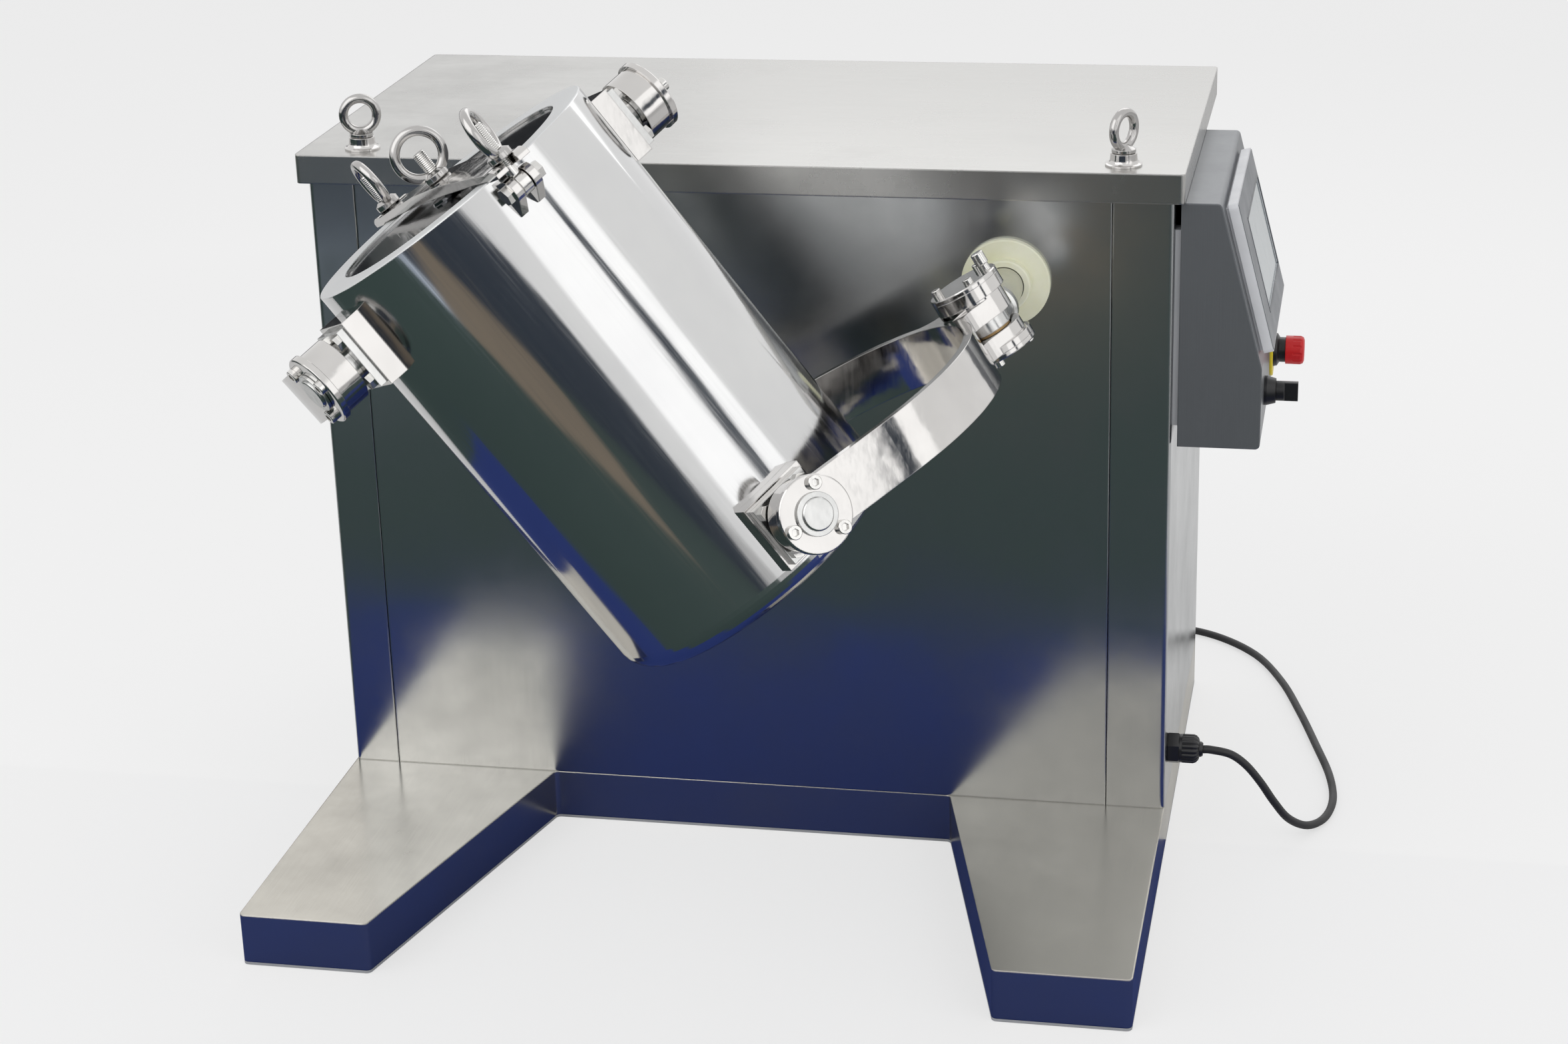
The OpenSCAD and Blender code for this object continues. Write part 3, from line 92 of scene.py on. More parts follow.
# Materials: every one is built from nodes in object coordinates

# A noise lies mostly between these values
NOISE_LOW = 0.3
NOISE_HIGH = 0.7
SCRATCH_DEPTH = 0.00001
EVEN = (1, 1, 1)
BEVEL_SAMPLES = 4


class Finish:
    """A node material with helpers that add noise to its colour, roughness and normal."""

    def __init__(self, name, color, roughness, metallic=0.0):
        self.material = bpy.data.materials.new(name)
        self.material.use_nodes = True
        self.nodes = self.material.node_tree.nodes
        self.links = self.material.node_tree.links
        self.shader = self.nodes["Principled BSDF"]
        self.color = color
        self.set("Base Color", (*color, 1))
        self.set("Roughness", roughness)
        self.set("Metallic", metallic)
        self.normal = None

    def set(self, socket, value):
        """Sets a constant on a socket of the shader."""
        self.shader.inputs[socket].default_value = value
        return self

    def node(self, kind, **values):
        """Adds a node and sets its properties."""
        made = self.nodes.new(kind)
        for key, value in values.items():
            setattr(made, key, value)
        return made

    def coords(self, scale, origin=(0, 0, 0), turn=(0, 0, 0)):
        """Object coordinates, in axes at origin turned by turn, then scaled."""
        place = self.node("ShaderNodeMapping", vector_type="TEXTURE")
        place.inputs["Location"].default_value = origin
        place.inputs["Rotation"].default_value = turn
        stretch = self.node("ShaderNodeMapping", vector_type="POINT")
        stretch.inputs["Scale"].default_value = scale
        source = self.node("ShaderNodeTexCoord")
        self.links.new(source.outputs["Object"], place.inputs["Vector"])
        self.links.new(place.outputs["Vector"], stretch.inputs["Vector"])
        return stretch.outputs["Vector"]

    def noise(self, vector, size=1.0, detail=3.0, rough=0.5):
        """A noise between 0 and 1 at a vector."""
        made = self.node("ShaderNodeTexNoise")
        made.inputs["Scale"].default_value = size
        made.inputs["Detail"].default_value = detail
        made.inputs["Roughness"].default_value = rough
        self.links.new(vector, made.inputs["Vector"])
        return made.outputs["Fac"]

    def spread(self, value, low, high):
        """Maps the middle of a noise to the range from low to high."""
        made = self.node("ShaderNodeMapRange")
        made.inputs["From Min"].default_value = NOISE_LOW
        made.inputs["From Max"].default_value = NOISE_HIGH
        made.inputs["To Min"].default_value = low
        made.inputs["To Max"].default_value = high
        self.links.new(value, made.inputs["Value"])
        return made.outputs["Result"]

    def tint(self, value, other, strength):
        """Mixes the base colour towards another one by a noise."""
        made = self.node("ShaderNodeMix", data_type="RGBA")
        previous = self.shader.inputs["Base Color"]
        if previous.is_linked:
            self.links.new(previous.links[0].from_socket, made.inputs["A"])
        else:
            made.inputs["A"].default_value = (*self.color, 1)
        made.inputs["B"].default_value = (*other, 1)
        self.links.new(self.spread(value, 0.0, strength), made.inputs["Factor"])
        self.links.new(made.outputs["Result"], previous)
        return self

    def vary_roughness(self, value, low, high):
        """Lets a noise move the roughness between low and high."""
        self.links.new(self.spread(value, low, high), self.shader.inputs["Roughness"])
        return self

    def bump(self, value, distance, strength):
        """Adds a noise as relief, on top of the relief before it."""
        made = self.node("ShaderNodeBump")
        made.inputs["Distance"].default_value = distance
        made.inputs["Strength"].default_value = strength
        self.links.new(value, made.inputs["Height"])
        if self.normal is not None:
            self.links.new(self.normal, made.inputs["Normal"])
        self.normal = made.outputs["Normal"]
        self.links.new(self.normal, self.shader.inputs["Normal"])
        return self

    def above(self, origin, turn, height):
        """1 where the local height is over a level, else 0."""
        split = self.node("ShaderNodeSeparateXYZ")
        self.links.new(self.coords(EVEN, origin, turn), split.inputs[0])
        over = self.node("ShaderNodeMath", operation="GREATER_THAN")
        over.inputs[1].default_value = height
        self.links.new(split.outputs["Z"], over.inputs[0])
        return over.outputs[0]

    def blend_input(self, socket, mask, value):
        """Mixes a socket towards a value where the mask is 1."""
        target = self.shader.inputs[socket]
        kind = "RGBA" if socket == "Base Color" else "FLOAT"
        made = self.node("ShaderNodeMix", data_type=kind)
        ends = [i for i in made.inputs if i.enabled and i.name in ("A", "B")]
        if target.is_linked:
            self.links.new(target.links[0].from_socket, ends[0])
        else:
            ends[0].default_value = target.default_value
        ends[1].default_value = value
        factor = next(i for i in made.inputs if i.enabled and i.name == "Factor")
        self.links.new(mask, factor)
        self.links.new(next(o for o in made.outputs if o.enabled), target)

    def patch(self, mask, color, roughness, metallic):
        """Gives the masked part of the surface another finish."""
        self.blend_input("Base Color", mask, (*color, 1))
        self.blend_input("Roughness", mask, roughness)
        self.blend_input("Metallic", mask, metallic)
        return self

    def soft_edges(self, radius):
        """Rounds sharp edges in the shading. It comes before any relief."""
        made = self.node("ShaderNodeBevel", samples=BEVEL_SAMPLES)
        made.inputs["Radius"].default_value = radius
        self.normal = made.outputs["Normal"]
        self.links.new(self.normal, self.shader.inputs["Normal"])
        return self


SHEET_WAVE = 4 * MM
SHEET_EDGE = 2.5 * MM


def brushed(name, color, roughness, grain, metallic=1.0):
    """Sheet steel with a fine grain along one axis and a slow wave, as pressed sheet has."""
    made = Finish(name, color, roughness, metallic).soft_edges(SHEET_EDGE)
    fine = made.noise(made.coords(grain), 1.0, 4.0, 0.6)
    slow = made.noise(made.coords(EVEN), 3.2, 2.0, 0.4)
    cloud = made.noise(made.coords(EVEN), 7.0, 5.0, 0.65)
    made.tint(cloud, [c * 0.8 for c in color], 0.8)
    made.tint(fine, [min(c * 1.1, 1) for c in color], 0.35)
    made.vary_roughness(cloud, roughness - 0.06, roughness + 0.06)
    made.bump(slow, SHEET_WAVE, 0.35)
    made.bump(fine, SCRATCH_DEPTH, 0.35)
    return made.material


def polished(name, color, roughness, wave=0.0003, edge=0.0012, size=26.0):
    """Hand-polished steel: bright, with soft ripples and faint scratches."""
    made = Finish(name, color, roughness, 1.0).soft_edges(edge)
    ripple = made.noise(made.coords(EVEN), size, 2.0, 0.5)
    scratch = made.noise(made.coords((300, 300, 40)), 1.0, 3.0, 0.6)
    made.tint(ripple, [c * 0.88 for c in color], 0.7)
    made.vary_roughness(scratch, roughness - 0.03, roughness + 0.05)
    made.bump(ripple, wave, 0.5)
    made.bump(scratch, SCRATCH_DEPTH, 0.5)
    return made.material


MOULDED_EDGE = 0.8 * MM
MOULDED_GRAIN = 0.05 * MM


def plastic(name, color, roughness, grain=900.0):
    """Moulded plastic or rubber with a fine grain."""
    made = Finish(name, color, roughness).soft_edges(MOULDED_EDGE)
    fine = made.noise(made.coords(EVEN), grain, 2.0, 0.5)
    cloud = made.noise(made.coords(EVEN), 30.0, 3.0, 0.5)
    made.tint(cloud, [c * 0.86 for c in color], 0.7)
    made.vary_roughness(cloud, roughness - 0.05, roughness + 0.06)
    made.bump(fine, MOULDED_GRAIN, 0.6)
    return made.material


def painted(name, color, roughness):
    """Sprayed paint with a fine orange peel."""
    made = Finish(name, color, roughness).soft_edges(0.001)
    peel = made.noise(made.coords(EVEN), 260.0, 2.0, 0.5)
    cloud = made.noise(made.coords(EVEN), 8.0, 3.0, 0.5)
    made.tint(cloud, [c * 0.85 for c in color], 0.8)
    made.vary_roughness(cloud, roughness - 0.06, roughness + 0.08)
    made.bump(peel, 0.0001, 0.4)
    return made.material


def barrel_frame():
    """The barrel's own axes at rest, with Z along its axis towards the lid."""
    up = Vector(JOINTS["lid_lift"]["axis"])
    side = Vector(JOINTS["drive_yoke_swing"]["axis"])
    out = side.cross(up).normalized()
    upper = Vector(JOINTS["drive_yoke_swing"]["pos_m"])
    lower = Vector(JOINTS["barrel_swing"]["pos_m"])
    turn = Matrix((out, up.cross(out), up)).transposed().to_4x4()
    return Matrix.Translation((upper + lower) / 2) @ turn


BARREL = barrel_frame()
TO_BARREL = BARREL.inverted()
SHELL_POINTS = frame["nodes"]["barrel_shell"].data.vertices
RIM_HEIGHT = max((TO_BARREL @ vertex.co).z for vertex in SHELL_POINTS)
RIM_DEPTH = 0.8 * MM


def barrel_steel():
    """Polished sheet rolled into a tube, with ripples along it and a matt, pale rim."""
    color = (0.66, 0.66, 0.655)
    made = Finish("barrel_steel", color, 0.1, 1.0).soft_edges(0.0012)
    origin = BARREL.to_translation()
    turn = BARREL.to_euler()
    along = made.noise(made.coords((16, 16, 1.6), origin, turn), 1.0, 2.0, 0.5)
    cloud = made.noise(made.coords((5, 5, 5), origin, turn), 1.0, 4.0, 0.6)
    scratch = made.noise(made.coords((420, 420, 12), origin, turn), 1.0, 3.0, 0.6)
    made.tint(cloud, (0.55, 0.55, 0.56), 0.6)
    made.vary_roughness(scratch, 0.06, 0.15)
    made.bump(along, 0.004, 0.35)
    made.bump(scratch, SCRATCH_DEPTH, 0.5)
    rim = made.above(origin, turn, RIM_HEIGHT - RIM_DEPTH)
    made.patch(rim, (0.70, 0.71, 0.715), 0.4, 0.35)
    return made.material


def nylon():
    """Cream nylon with turning marks and a little light inside."""
    made = Finish("cream_nylon", (0.86, 0.86, 0.70), 0.42).soft_edges(MOULDED_EDGE)
    cloud = made.noise(made.coords(EVEN), 24.0, 4.0, 0.6)
    turning = made.noise(made.coords((40, 900, 40)), 1.0, 2.0, 0.5)
    made.tint(cloud, (0.76, 0.76, 0.52), 0.8)
    made.vary_roughness(cloud, 0.34, 0.5)
    made.bump(turning, MOULDED_GRAIN, 0.5)
    made.set("Subsurface Weight", 0.15)
    made.set("Subsurface Radius", (0.004, 0.003, 0.002))
    return made.material


def screen():
    """Glass over a plain pale screen."""
    made = Finish("screen_glass", (0.40, 0.47, 0.50), 0.12)
    cloud = made.noise(made.coords((2, 4, 3)), 1.0, 2.0, 0.5)
    made.tint(cloud, (0.48, 0.55, 0.58), 0.8)
    made.vary_roughness(made.noise(made.coords(EVEN), 60.0), 0.08, 0.16)
    made.set("Coat Weight", 0.6)
    made.set("Coat Roughness", 0.04)
    return made.material


# Grain of brushed sheet: few waves along one axis, many across it
ALONG_X = (9, 1500, 1500)
ALONG_Y = (1500, 9, 1500)
ALONG_Z = (1500, 1500, 9)
STEEL = (0.52, 0.53, 0.535)
FINISHES = {
    "sheet_upright": brushed("sheet_upright", STEEL, 0.2, ALONG_Z),
    "sheet_across": brushed("sheet_across", (0.53, 0.525, 0.51), 0.25, ALONG_X),
    # The base frame's warm, lighter tint is painted warm light on plain sheet steel
    "sheet_along_painted_warm_light": brushed("sheet_along_painted_warm_light", (0.60, 0.575, 0.52), 0.22, ALONG_Y),
    "box_sheet": brushed("box_sheet", (0.20, 0.21, 0.225), 0.32, ALONG_Z, metallic=0.55),
    "polished_steel": polished(
        "polished_steel", (0.62, 0.605, 0.59), 0.09, wave=0.0012, size=22.0
    ),
    # The lid's near-black colour is a painted dark reflection: mirror steel darkened to the dark
    # surroundings it reflects
    "lid_painted_dark_reflection": polished("lid_painted_dark_reflection", (0.13, 0.133, 0.14), 0.08),
    "eye_steel": polished("eye_steel", (0.47, 0.46, 0.45), 0.12, wave=0.0006),
    "barrel_steel": barrel_steel(),
    "bright_bolt": polished("bright_bolt", (0.70, 0.69, 0.67), 0.16, size=120.0, edge=0.0005),
    "ground_steel": polished("ground_steel", (0.62, 0.62, 0.61), 0.2, size=60.0),
    "cast_iron": painted("cast_iron", (0.16, 0.17, 0.18), 0.5),
    "primer": painted("primer", (0.38, 0.39, 0.41), 0.55),
    "motor_paint": painted("motor_paint", (0.14, 0.23, 0.34), 0.4),
    "bronze": polished("bronze", (0.62, 0.42, 0.20), 0.3, size=120.0),
    "cream_nylon": nylon(),
    "white_silicone": plastic("white_silicone", (0.80, 0.79, 0.74), 0.55),
    "panel_grey": plastic("panel_grey", (0.80, 0.81, 0.84), 0.42),
    "panel_face": plastic("panel_face", (0.22, 0.23, 0.25), 0.38),
    "screen_edge": plastic("screen_edge", (0.10, 0.11, 0.125), 0.3),
    "screen_glass": screen(),
    "black_plastic": plastic("black_plastic", (0.012, 0.012, 0.014), 0.34),
    "red_plastic": plastic("red_plastic", (0.72, 0.004, 0.008), 0.36),
    "yellow_plastic": plastic("yellow_plastic", (0.86, 0.68, 0.02), 0.4),
    "cord_rubber": plastic("cord_rubber", (0.02, 0.02, 0.022), 0.5, grain=500.0),
    "inverter_case": plastic("inverter_case", (0.10, 0.105, 0.115), 0.5),
}

NODE_FINISHES = {
    "sheet_upright": ["front_panel", "left_panel", "right_panel", "rear_panel"],
    "sheet_across": ["top_cover"],
    "sheet_along_painted_warm_light": ["base_frame"],
    "box_sheet": ["control_box"],
    "primer": ["base_floor", "bearing_plate", "reducer_bracket", "box_mount_strip"],
    "polished_steel": [
        "drive_yoke", "driven_yoke", "barrel_pads", "clamp_lugs", "clamp_bar",
        "lifting_bosses", "drive_yoke_caps", "driven_yoke_caps",
    ],
    "eye_steel": ["lifting_eyes", "front_eye_nut", "back_eye_nut", "centre_eye_nut"],
    "lid_painted_dark_reflection": ["lid"],
    "barrel_steel": ["barrel_shell"],
    "bright_bolt": [
        "panel_screws", "drive_cap_screws", "driven_cap_screws", "trunnion_bolts",
        "hinge_pins", "front_swing_bolt", "back_swing_bolt", "centre_screw",
    ],
    "ground_steel": [
        "drive_shaft", "driven_shaft", "drive_pin", "driven_pin",
        "shaft_bearings", "trunnions", "retaining_rings",
    ],
    "cast_iron": ["bearing_housings", "gear_reducer"],
    "motor_paint": ["drive_motor"],
    "bronze": ["drive_yoke_bushes", "driven_yoke_bushes", "thrust_washers"],
    "cream_nylon": ["shaft_seals"],
    "white_silicone": ["lid_gasket"],
    "panel_grey": ["touch_panel_frame"],
    "screen_glass": ["touch_screen"],
    "yellow_plastic": ["estop_plate"],
    "red_plastic": ["estop_head"],
    "black_plastic": ["estop_collar", "selector_bezel", "selector_knob", "cable_gland", "plug"],
    "cord_rubber": ["power_cord", "cord_coil"],
    "inverter_case": ["inverter"],
}


def finish_nodes():
    """Gives every node of the CAD its finish."""
    for finish, names in NODE_FINISHES.items():
        for name in names:
            node = frame["nodes"][name]
            node.data.materials.clear()
            node.data.materials.append(FINISHES[finish])


finish_nodes()


# Mesh helpers

SMOOTH_ANGLE = 35


def add_piece(name, bm, finish, body):
    """Makes an object of a mesh under construction, with its finish and body."""
    mesh = bpy.data.meshes.new(name)
    bmesh.ops.recalc_face_normals(bm, faces=bm.faces)
    bm.to_mesh(mesh)
    bm.free()
    mesh.materials.append(FINISHES[finish])
    piece = bpy.data.objects.new(name, mesh)
    bpy.context.collection.objects.link(piece)
    for polygon in mesh.polygons:
        polygon.use_smooth = True
    mesh.set_sharp_from_angle(angle=math.radians(SMOOTH_ANGLE))
    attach(piece, body)
    return piece


def lathe(bm, place, profile, steps=48, radius_at=None):
    """Turns a profile of (radius, height) in millimetres round Z and puts it at place."""
    rings = []
    for radius, height in profile:
        ring = []
        for step in range(steps):
            angle = 2 * math.pi * step / steps
            r = radius * MM * (radius_at(angle) if radius_at else 1)
            point = Vector((r * math.cos(angle), r * math.sin(angle), height * MM))
            ring.append(bm.verts.new(place @ point))
        rings.append(ring)
    for low, high in zip(rings, rings[1:]):
        for step in range(steps):
            following = (step + 1) % steps
            bm.faces.new((low[step], low[following], high[following], high[step]))
    bm.faces.new(rings[0][::-1])
    bm.faces.new(rings[-1])


# Face plate and screen edge of the touch panel

# Least X of a face's direction where the face looks away from the cabinet
OUTWARD_X = 0.1
# Millimetres on the panel's slope
PANEL_EDGE = 0.4
FACE_INSET = 2.5
FACE_THICKNESS = 1.2
FACE_HEIGHT = 0.1
SCREEN_MARGIN = 0.3
SCREEN_EDGE_WIDTH = 3.0
SCREEN_EDGE_LOW = -0.5
SCREEN_EDGE_HIGH = 1.2
SCREEN_OUTER_RADIUS = 3.0
SCREEN_INNER_RADIUS = 1.5


def sloping_axes(node):
    """Centre, half sizes and axes (along, up the slope, outward) of a flat node on the slope."""
    mesh = frame["nodes"][node].data
    outward = [polygon for polygon in mesh.polygons if polygon.normal.x > OUTWARD_X]
    out = max(outward, key=lambda polygon: polygon.area).normal.copy()
    along = Vector((0, 1, 0))
    up = out.cross(along).normalized()
    spans = []
    for axis in (along, up, out):
        reach = [axis.dot(vertex.co) for vertex in mesh.vertices]
        spans.append((min(reach), max(reach)))
    middle = [(low + high) / 2 for low, high in spans]
    centre = along * middle[0] + up * middle[1] + out * spans[2][1]
    place = Matrix.Translation(centre) @ Matrix((along, up, out)).transposed().to_4x4()
    return place, (spans[0][1] - middle[0], spans[1][1] - middle[1])


def rounded_loop(half_x, half_y, radius, steps=6):
    """Corner points of a rectangle with rounded corners."""
    points = []
    for corner, (sx, sy) in enumerate(((1, 1), (-1, 1), (-1, -1), (1, -1))):
        for step in range(steps + 1):
            angle = math.radians(90 * corner + 90 * step / steps)
            x = sx * (half_x - radius) + radius * math.cos(angle)
            y = sy * (half_y - radius) + radius * math.sin(angle)
            points.append((x, y))
    return points


def flat_frame(name, place, outer, inner, low, high):
    """A flat frame between two heights, in millimetres, with bevelled edges.

    outer and inner each give half a width, half a height and the radius of the corners.
    """
    outer_top = [value - PANEL_EDGE for value in outer]
    inner_top = [inner[0] + PANEL_EDGE, inner[1] + PANEL_EDGE, inner[2]]
    sections = (
        (inner, low), (outer, low), (outer, high - PANEL_EDGE),
        (outer_top, high), (inner_top, high), (inner, high - PANEL_EDGE),
    )
    bm = bmesh.new()
    loops = []
    for (half_x, half_y, radius), z in sections:
        points = rounded_loop(half_x, half_y, radius)
        loops.append([bm.verts.new(place @ (Vector((x, y, z)) * MM)) for x, y in points])
    for first, second in zip(loops, loops[1:] + loops[:1]):
        for i in range(len(first)):
            j = (i + 1) % len(first)
            bm.faces.new((first[i], first[j], second[j], second[i]))
    add_piece(name, bm, "screen_edge", "frame")


def touch_panel_trim():
    """The raised edge round the screen, and the face plate as four strips round that edge."""
    panel, (panel_x, panel_y) = sloping_axes("touch_panel_frame")
    glass, (glass_x, glass_y) = sloping_axes("touch_screen")
    shift = panel.inverted() @ glass.to_translation()
    glass_at = panel @ Matrix.Translation((shift.x, shift.y, 0))
    hole = [value / MM + SCREEN_MARGIN for value in (glass_x, glass_y)]
    border = [value + SCREEN_EDGE_WIDTH for value in hole]
    outer = (*border, SCREEN_OUTER_RADIUS)
    inner = (*hole, SCREEN_INNER_RADIUS)
    flat_frame("screen_edge", glass_at, outer, inner, SCREEN_EDGE_LOW, SCREEN_EDGE_HIGH)
    for side, low, high in face_strips(panel_x / MM, panel_y / MM, shift / MM, border):
        strip(side, panel, low, high)


def face_strips(half_x, half_y, shift, border):
    """The four strips of the face plate round the screen's edge."""
    x = half_x - FACE_INSET
    y = half_y - FACE_INSET
    left, right = shift.x - border[0], shift.x + border[0]
    bottom, top = shift.y - border[1], shift.y + border[1]
    return (
        ("face_bottom", (-x, -y), (x, bottom)), ("face_top", (-x, top), (x, y)),
        ("face_front", (-x, bottom), (left, top)), ("face_back", (right, bottom), (x, top)),
    )


def strip(name, place, low, high):
    """A thin plate between two corners on the panel's face."""
    size = Vector((high[0] - low[0], high[1] - low[1], FACE_THICKNESS)) * MM
    middle = Vector(((low[0] + high[0]) / 2, (low[1] + high[1]) / 2, FACE_HEIGHT)) * MM
    bm = bmesh.new()
    bmesh.ops.create_cube(bm, size=1)
    sized = place @ Matrix.Translation(middle) @ Matrix.Diagonal((*size, 1))
    bmesh.ops.transform(bm, matrix=sized, verts=bm.verts)
    add_piece(name, bm, "panel_face", "frame")


touch_panel_trim()


# Cord: the same route as the solids, in millimetres, with its coil behind the cabinet

CORD_RADIUS = 4.5
CORD_DIAMETER = 2 * CORD_RADIUS * MM
CORD_STEPS = 6
CORD_BEVEL_STEPS = 4
CORD_ROUTE = [
    (498, -200, 112),
    (507, -200, 112),
    (528, -200, 108),
    (545, -198, 95),
    (561, -195, 74),
    (576, -190, 49),
    (592, -180, 25),
    (612, -162, 9),
    (630, -132, CORD_RADIUS),
    (638, -84, CORD_RADIUS),
    (632, -20, CORD_RADIUS),
    (614, 60, CORD_RADIUS),
    (592, 150, CORD_RADIUS),
    (566, 240, CORD_RADIUS),
    (530, 318, CORD_RADIUS),
    (476, 372, CORD_RADIUS),
    (414, 395, CORD_RADIUS),
]
COIL_AT = (330, 330)
COIL_PITCH = 9.6
COIL_INNER_RADIUS = 37
COIL_TURNS = 3
COIL_STEPS = 36
COIL_LEAD = 9
PLUG_LEAD = 40
# Degrees round the coil
COIL_START = 90
COIL_REVERSE = COIL_START + 360 * COIL_TURNS
COIL_CLIMB = 180


def coil_point(angle):
    """The coil spirals in over three turns, climbs a layer where it reverses and spirals out."""
    radius = COIL_INNER_RADIUS + COIL_PITCH * abs(angle - COIL_REVERSE) / 360
    climb = min(max((angle - COIL_REVERSE) / COIL_CLIMB + 0.5, 0), 1)
    height = CORD_RADIUS + COIL_PITCH * climb * climb * (3 - 2 * climb)
    turn = math.radians(angle)
    return (COIL_AT[0] + radius * math.cos(turn), COIL_AT[1] + radius * math.sin(turn), height)


def between(a, b, c, d, t):
    """A smooth curve through b and c, with a and d as its neighbours."""
    cubic = 3 * b - a - 3 * c + d
    return (2 * b + (c - a) * t + (2 * a - 5 * b + 4 * c - d) * t * t + cubic * t * t * t) / 2


def cord_points():
    """Points along the cord's middle, in metres, from the gland to the plug."""
    start = Vector(coil_point(COIL_START))
    free = [Vector(point) for point in CORD_ROUTE]
    for lead in (COIL_LEAD + CORD_RADIUS * 2, COIL_LEAD):
        free.append(start + Vector((lead, 0, 0)))
    points = []
    for i in range(len(free) - 1):
        a, b, c, d = free[max(i - 1, 0)], free[i], free[i + 1], free[min(i + 2, len(free) - 1)]
        points += [between(a, b, c, d, k / CORD_STEPS) for k in range(CORD_STEPS)]
    points.append(free[-1])
    for i in range(COIL_STEPS * COIL_TURNS * 2 + 1):
        points.append(Vector(coil_point(COIL_START + 360 * i / COIL_STEPS)))
    points.append(points[-1] - Vector((PLUG_LEAD, 0, 0)))
    return [point * MM for point in points]


def make_cord():
    """One round cord in place of the two nodes of its solids."""
    points = cord_points()
    data = bpy.data.curves.new("mains_cord", "CURVE")
    data.dimensions = "3D"
    data.bevel_depth = CORD_DIAMETER / 2
    data.bevel_resolution = CORD_BEVEL_STEPS
    data.use_fill_caps = True
    line = data.splines.new("POLY")
    line.points.add(len(points) - 1)
    for target, point in zip(line.points, points):
        target.co = (*point, 1)
    line.use_smooth = True
    cord = bpy.data.objects.new("mains_cord", data)
    bpy.context.collection.objects.link(cord)
    data.materials.append(FINISHES["cord_rubber"])
    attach(cord, "frame")
    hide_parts("power_cord", "cord_coil")


make_cord()


# Threads on the swing bolts and the middle screw

THREAD_PITCH = 1.75
THREAD_DEPTH = 0.55
# Where a thread's flat crest starts and ends, as shares of the pitch
CREST_START = 0.45
CREST_END = 0.6
# Millimetres from the bolt's hinge pin, or from its axis
BOLT_RADIUS = 6.0
BOLT_CHAMFER = 1
BOLT_EYE_RADIUS = 11.0
BOLT_EYE_WIDTH = 12.0
BOLT_LENGTH = 64.0
SHANK_START = 8.0
SHANK_END = 19.0
THREAD_START = 19.5


def thread_profile(low, high):
    """A profile with a notch for every turn of a thread between low and high."""
    core = BOLT_RADIUS - THREAD_DEPTH
    profile = [(core, low)]
    z = low
    while z + THREAD_PITCH < high:
        profile.append((BOLT_RADIUS, z + THREAD_PITCH * CREST_START))
        profile.append((BOLT_RADIUS, z + THREAD_PITCH * CREST_END))
        profile.append((core, z + THREAD_PITCH))
        z += THREAD_PITCH
    profile.append((BOLT_RADIUS - BOLT_CHAMFER, high))
    return profile


def swing_bolt(name, joint, body, node):
    """A threaded rod with an eye round its hinge pin."""
    place = Matrix.Translation(Vector(JOINTS[joint]["pos_m"])) @ BARREL.to_3x3().to_4x4()
    half = BOLT_EYE_WIDTH / 2
    eye = [
        (BOLT_EYE_RADIUS - BOLT_CHAMFER, -half), (BOLT_EYE_RADIUS, BOLT_CHAMFER - half),
        (BOLT_EYE_RADIUS, half - BOLT_CHAMFER), (BOLT_EYE_RADIUS - BOLT_CHAMFER, half),
    ]
    shank = [(BOLT_RADIUS, SHANK_START), (BOLT_RADIUS, SHANK_END)]
    bm = bmesh.new()
    lathe(bm, place @ Matrix.Rotation(math.radians(90), 4, "X"), eye)
    lathe(bm, place, shank + thread_profile(THREAD_START, BOLT_LENGTH))
    piece = add_piece(name, bm, "bright_bolt", body)
    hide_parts(node)


swing_bolt("front_bolt_threaded", "front_bolt_swing", "front_bolt", "front_swing_bolt")
swing_bolt("back_bolt_threaded", "back_bolt_swing", "back_bolt", "back_swing_bolt")


def middle_screw():
    """The middle screw, threaded over its whole length, as long as its node's box allows."""
    low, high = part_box("centre_screw")
    middle = (Vector(low) + Vector(high)) / 2
    lean = JOINTS["lid_lift"]["axis"][2]
    across = 2 * BOLT_RADIUS * MM * math.sqrt(max(0, 1 - lean * lean))
    length = (high[2] - low[2] - across) / abs(lean) / MM
    place = Matrix.Translation(middle) @ BARREL.to_3x3().to_4x4()
    bm = bmesh.new()
    lathe(bm, place, thread_profile(-length / 2, length / 2))
    piece = add_piece("middle_screw_threaded", bm, "bright_bolt", "centre_clamp")
    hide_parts("centre_screw")


middle_screw()


# Cable gland with a ribbed dome nut

# The outer face of the right panel, and the gland's sizes, in millimetres
WALL_X = 460.0
GLAND_BODY = 13.0
GLAND_RIBS = 16
GLAND_RIB_DEPTH = 0.09
HEXAGON = 6
DOME_STEPS = 96


def ribbed(angle):
    """The share of the radius that the grooves between the ribs leave at an angle."""
    return 1 - GLAND_RIB_DEPTH * (0.5 + 0.5 * math.cos(GLAND_RIBS * angle)) ** 3


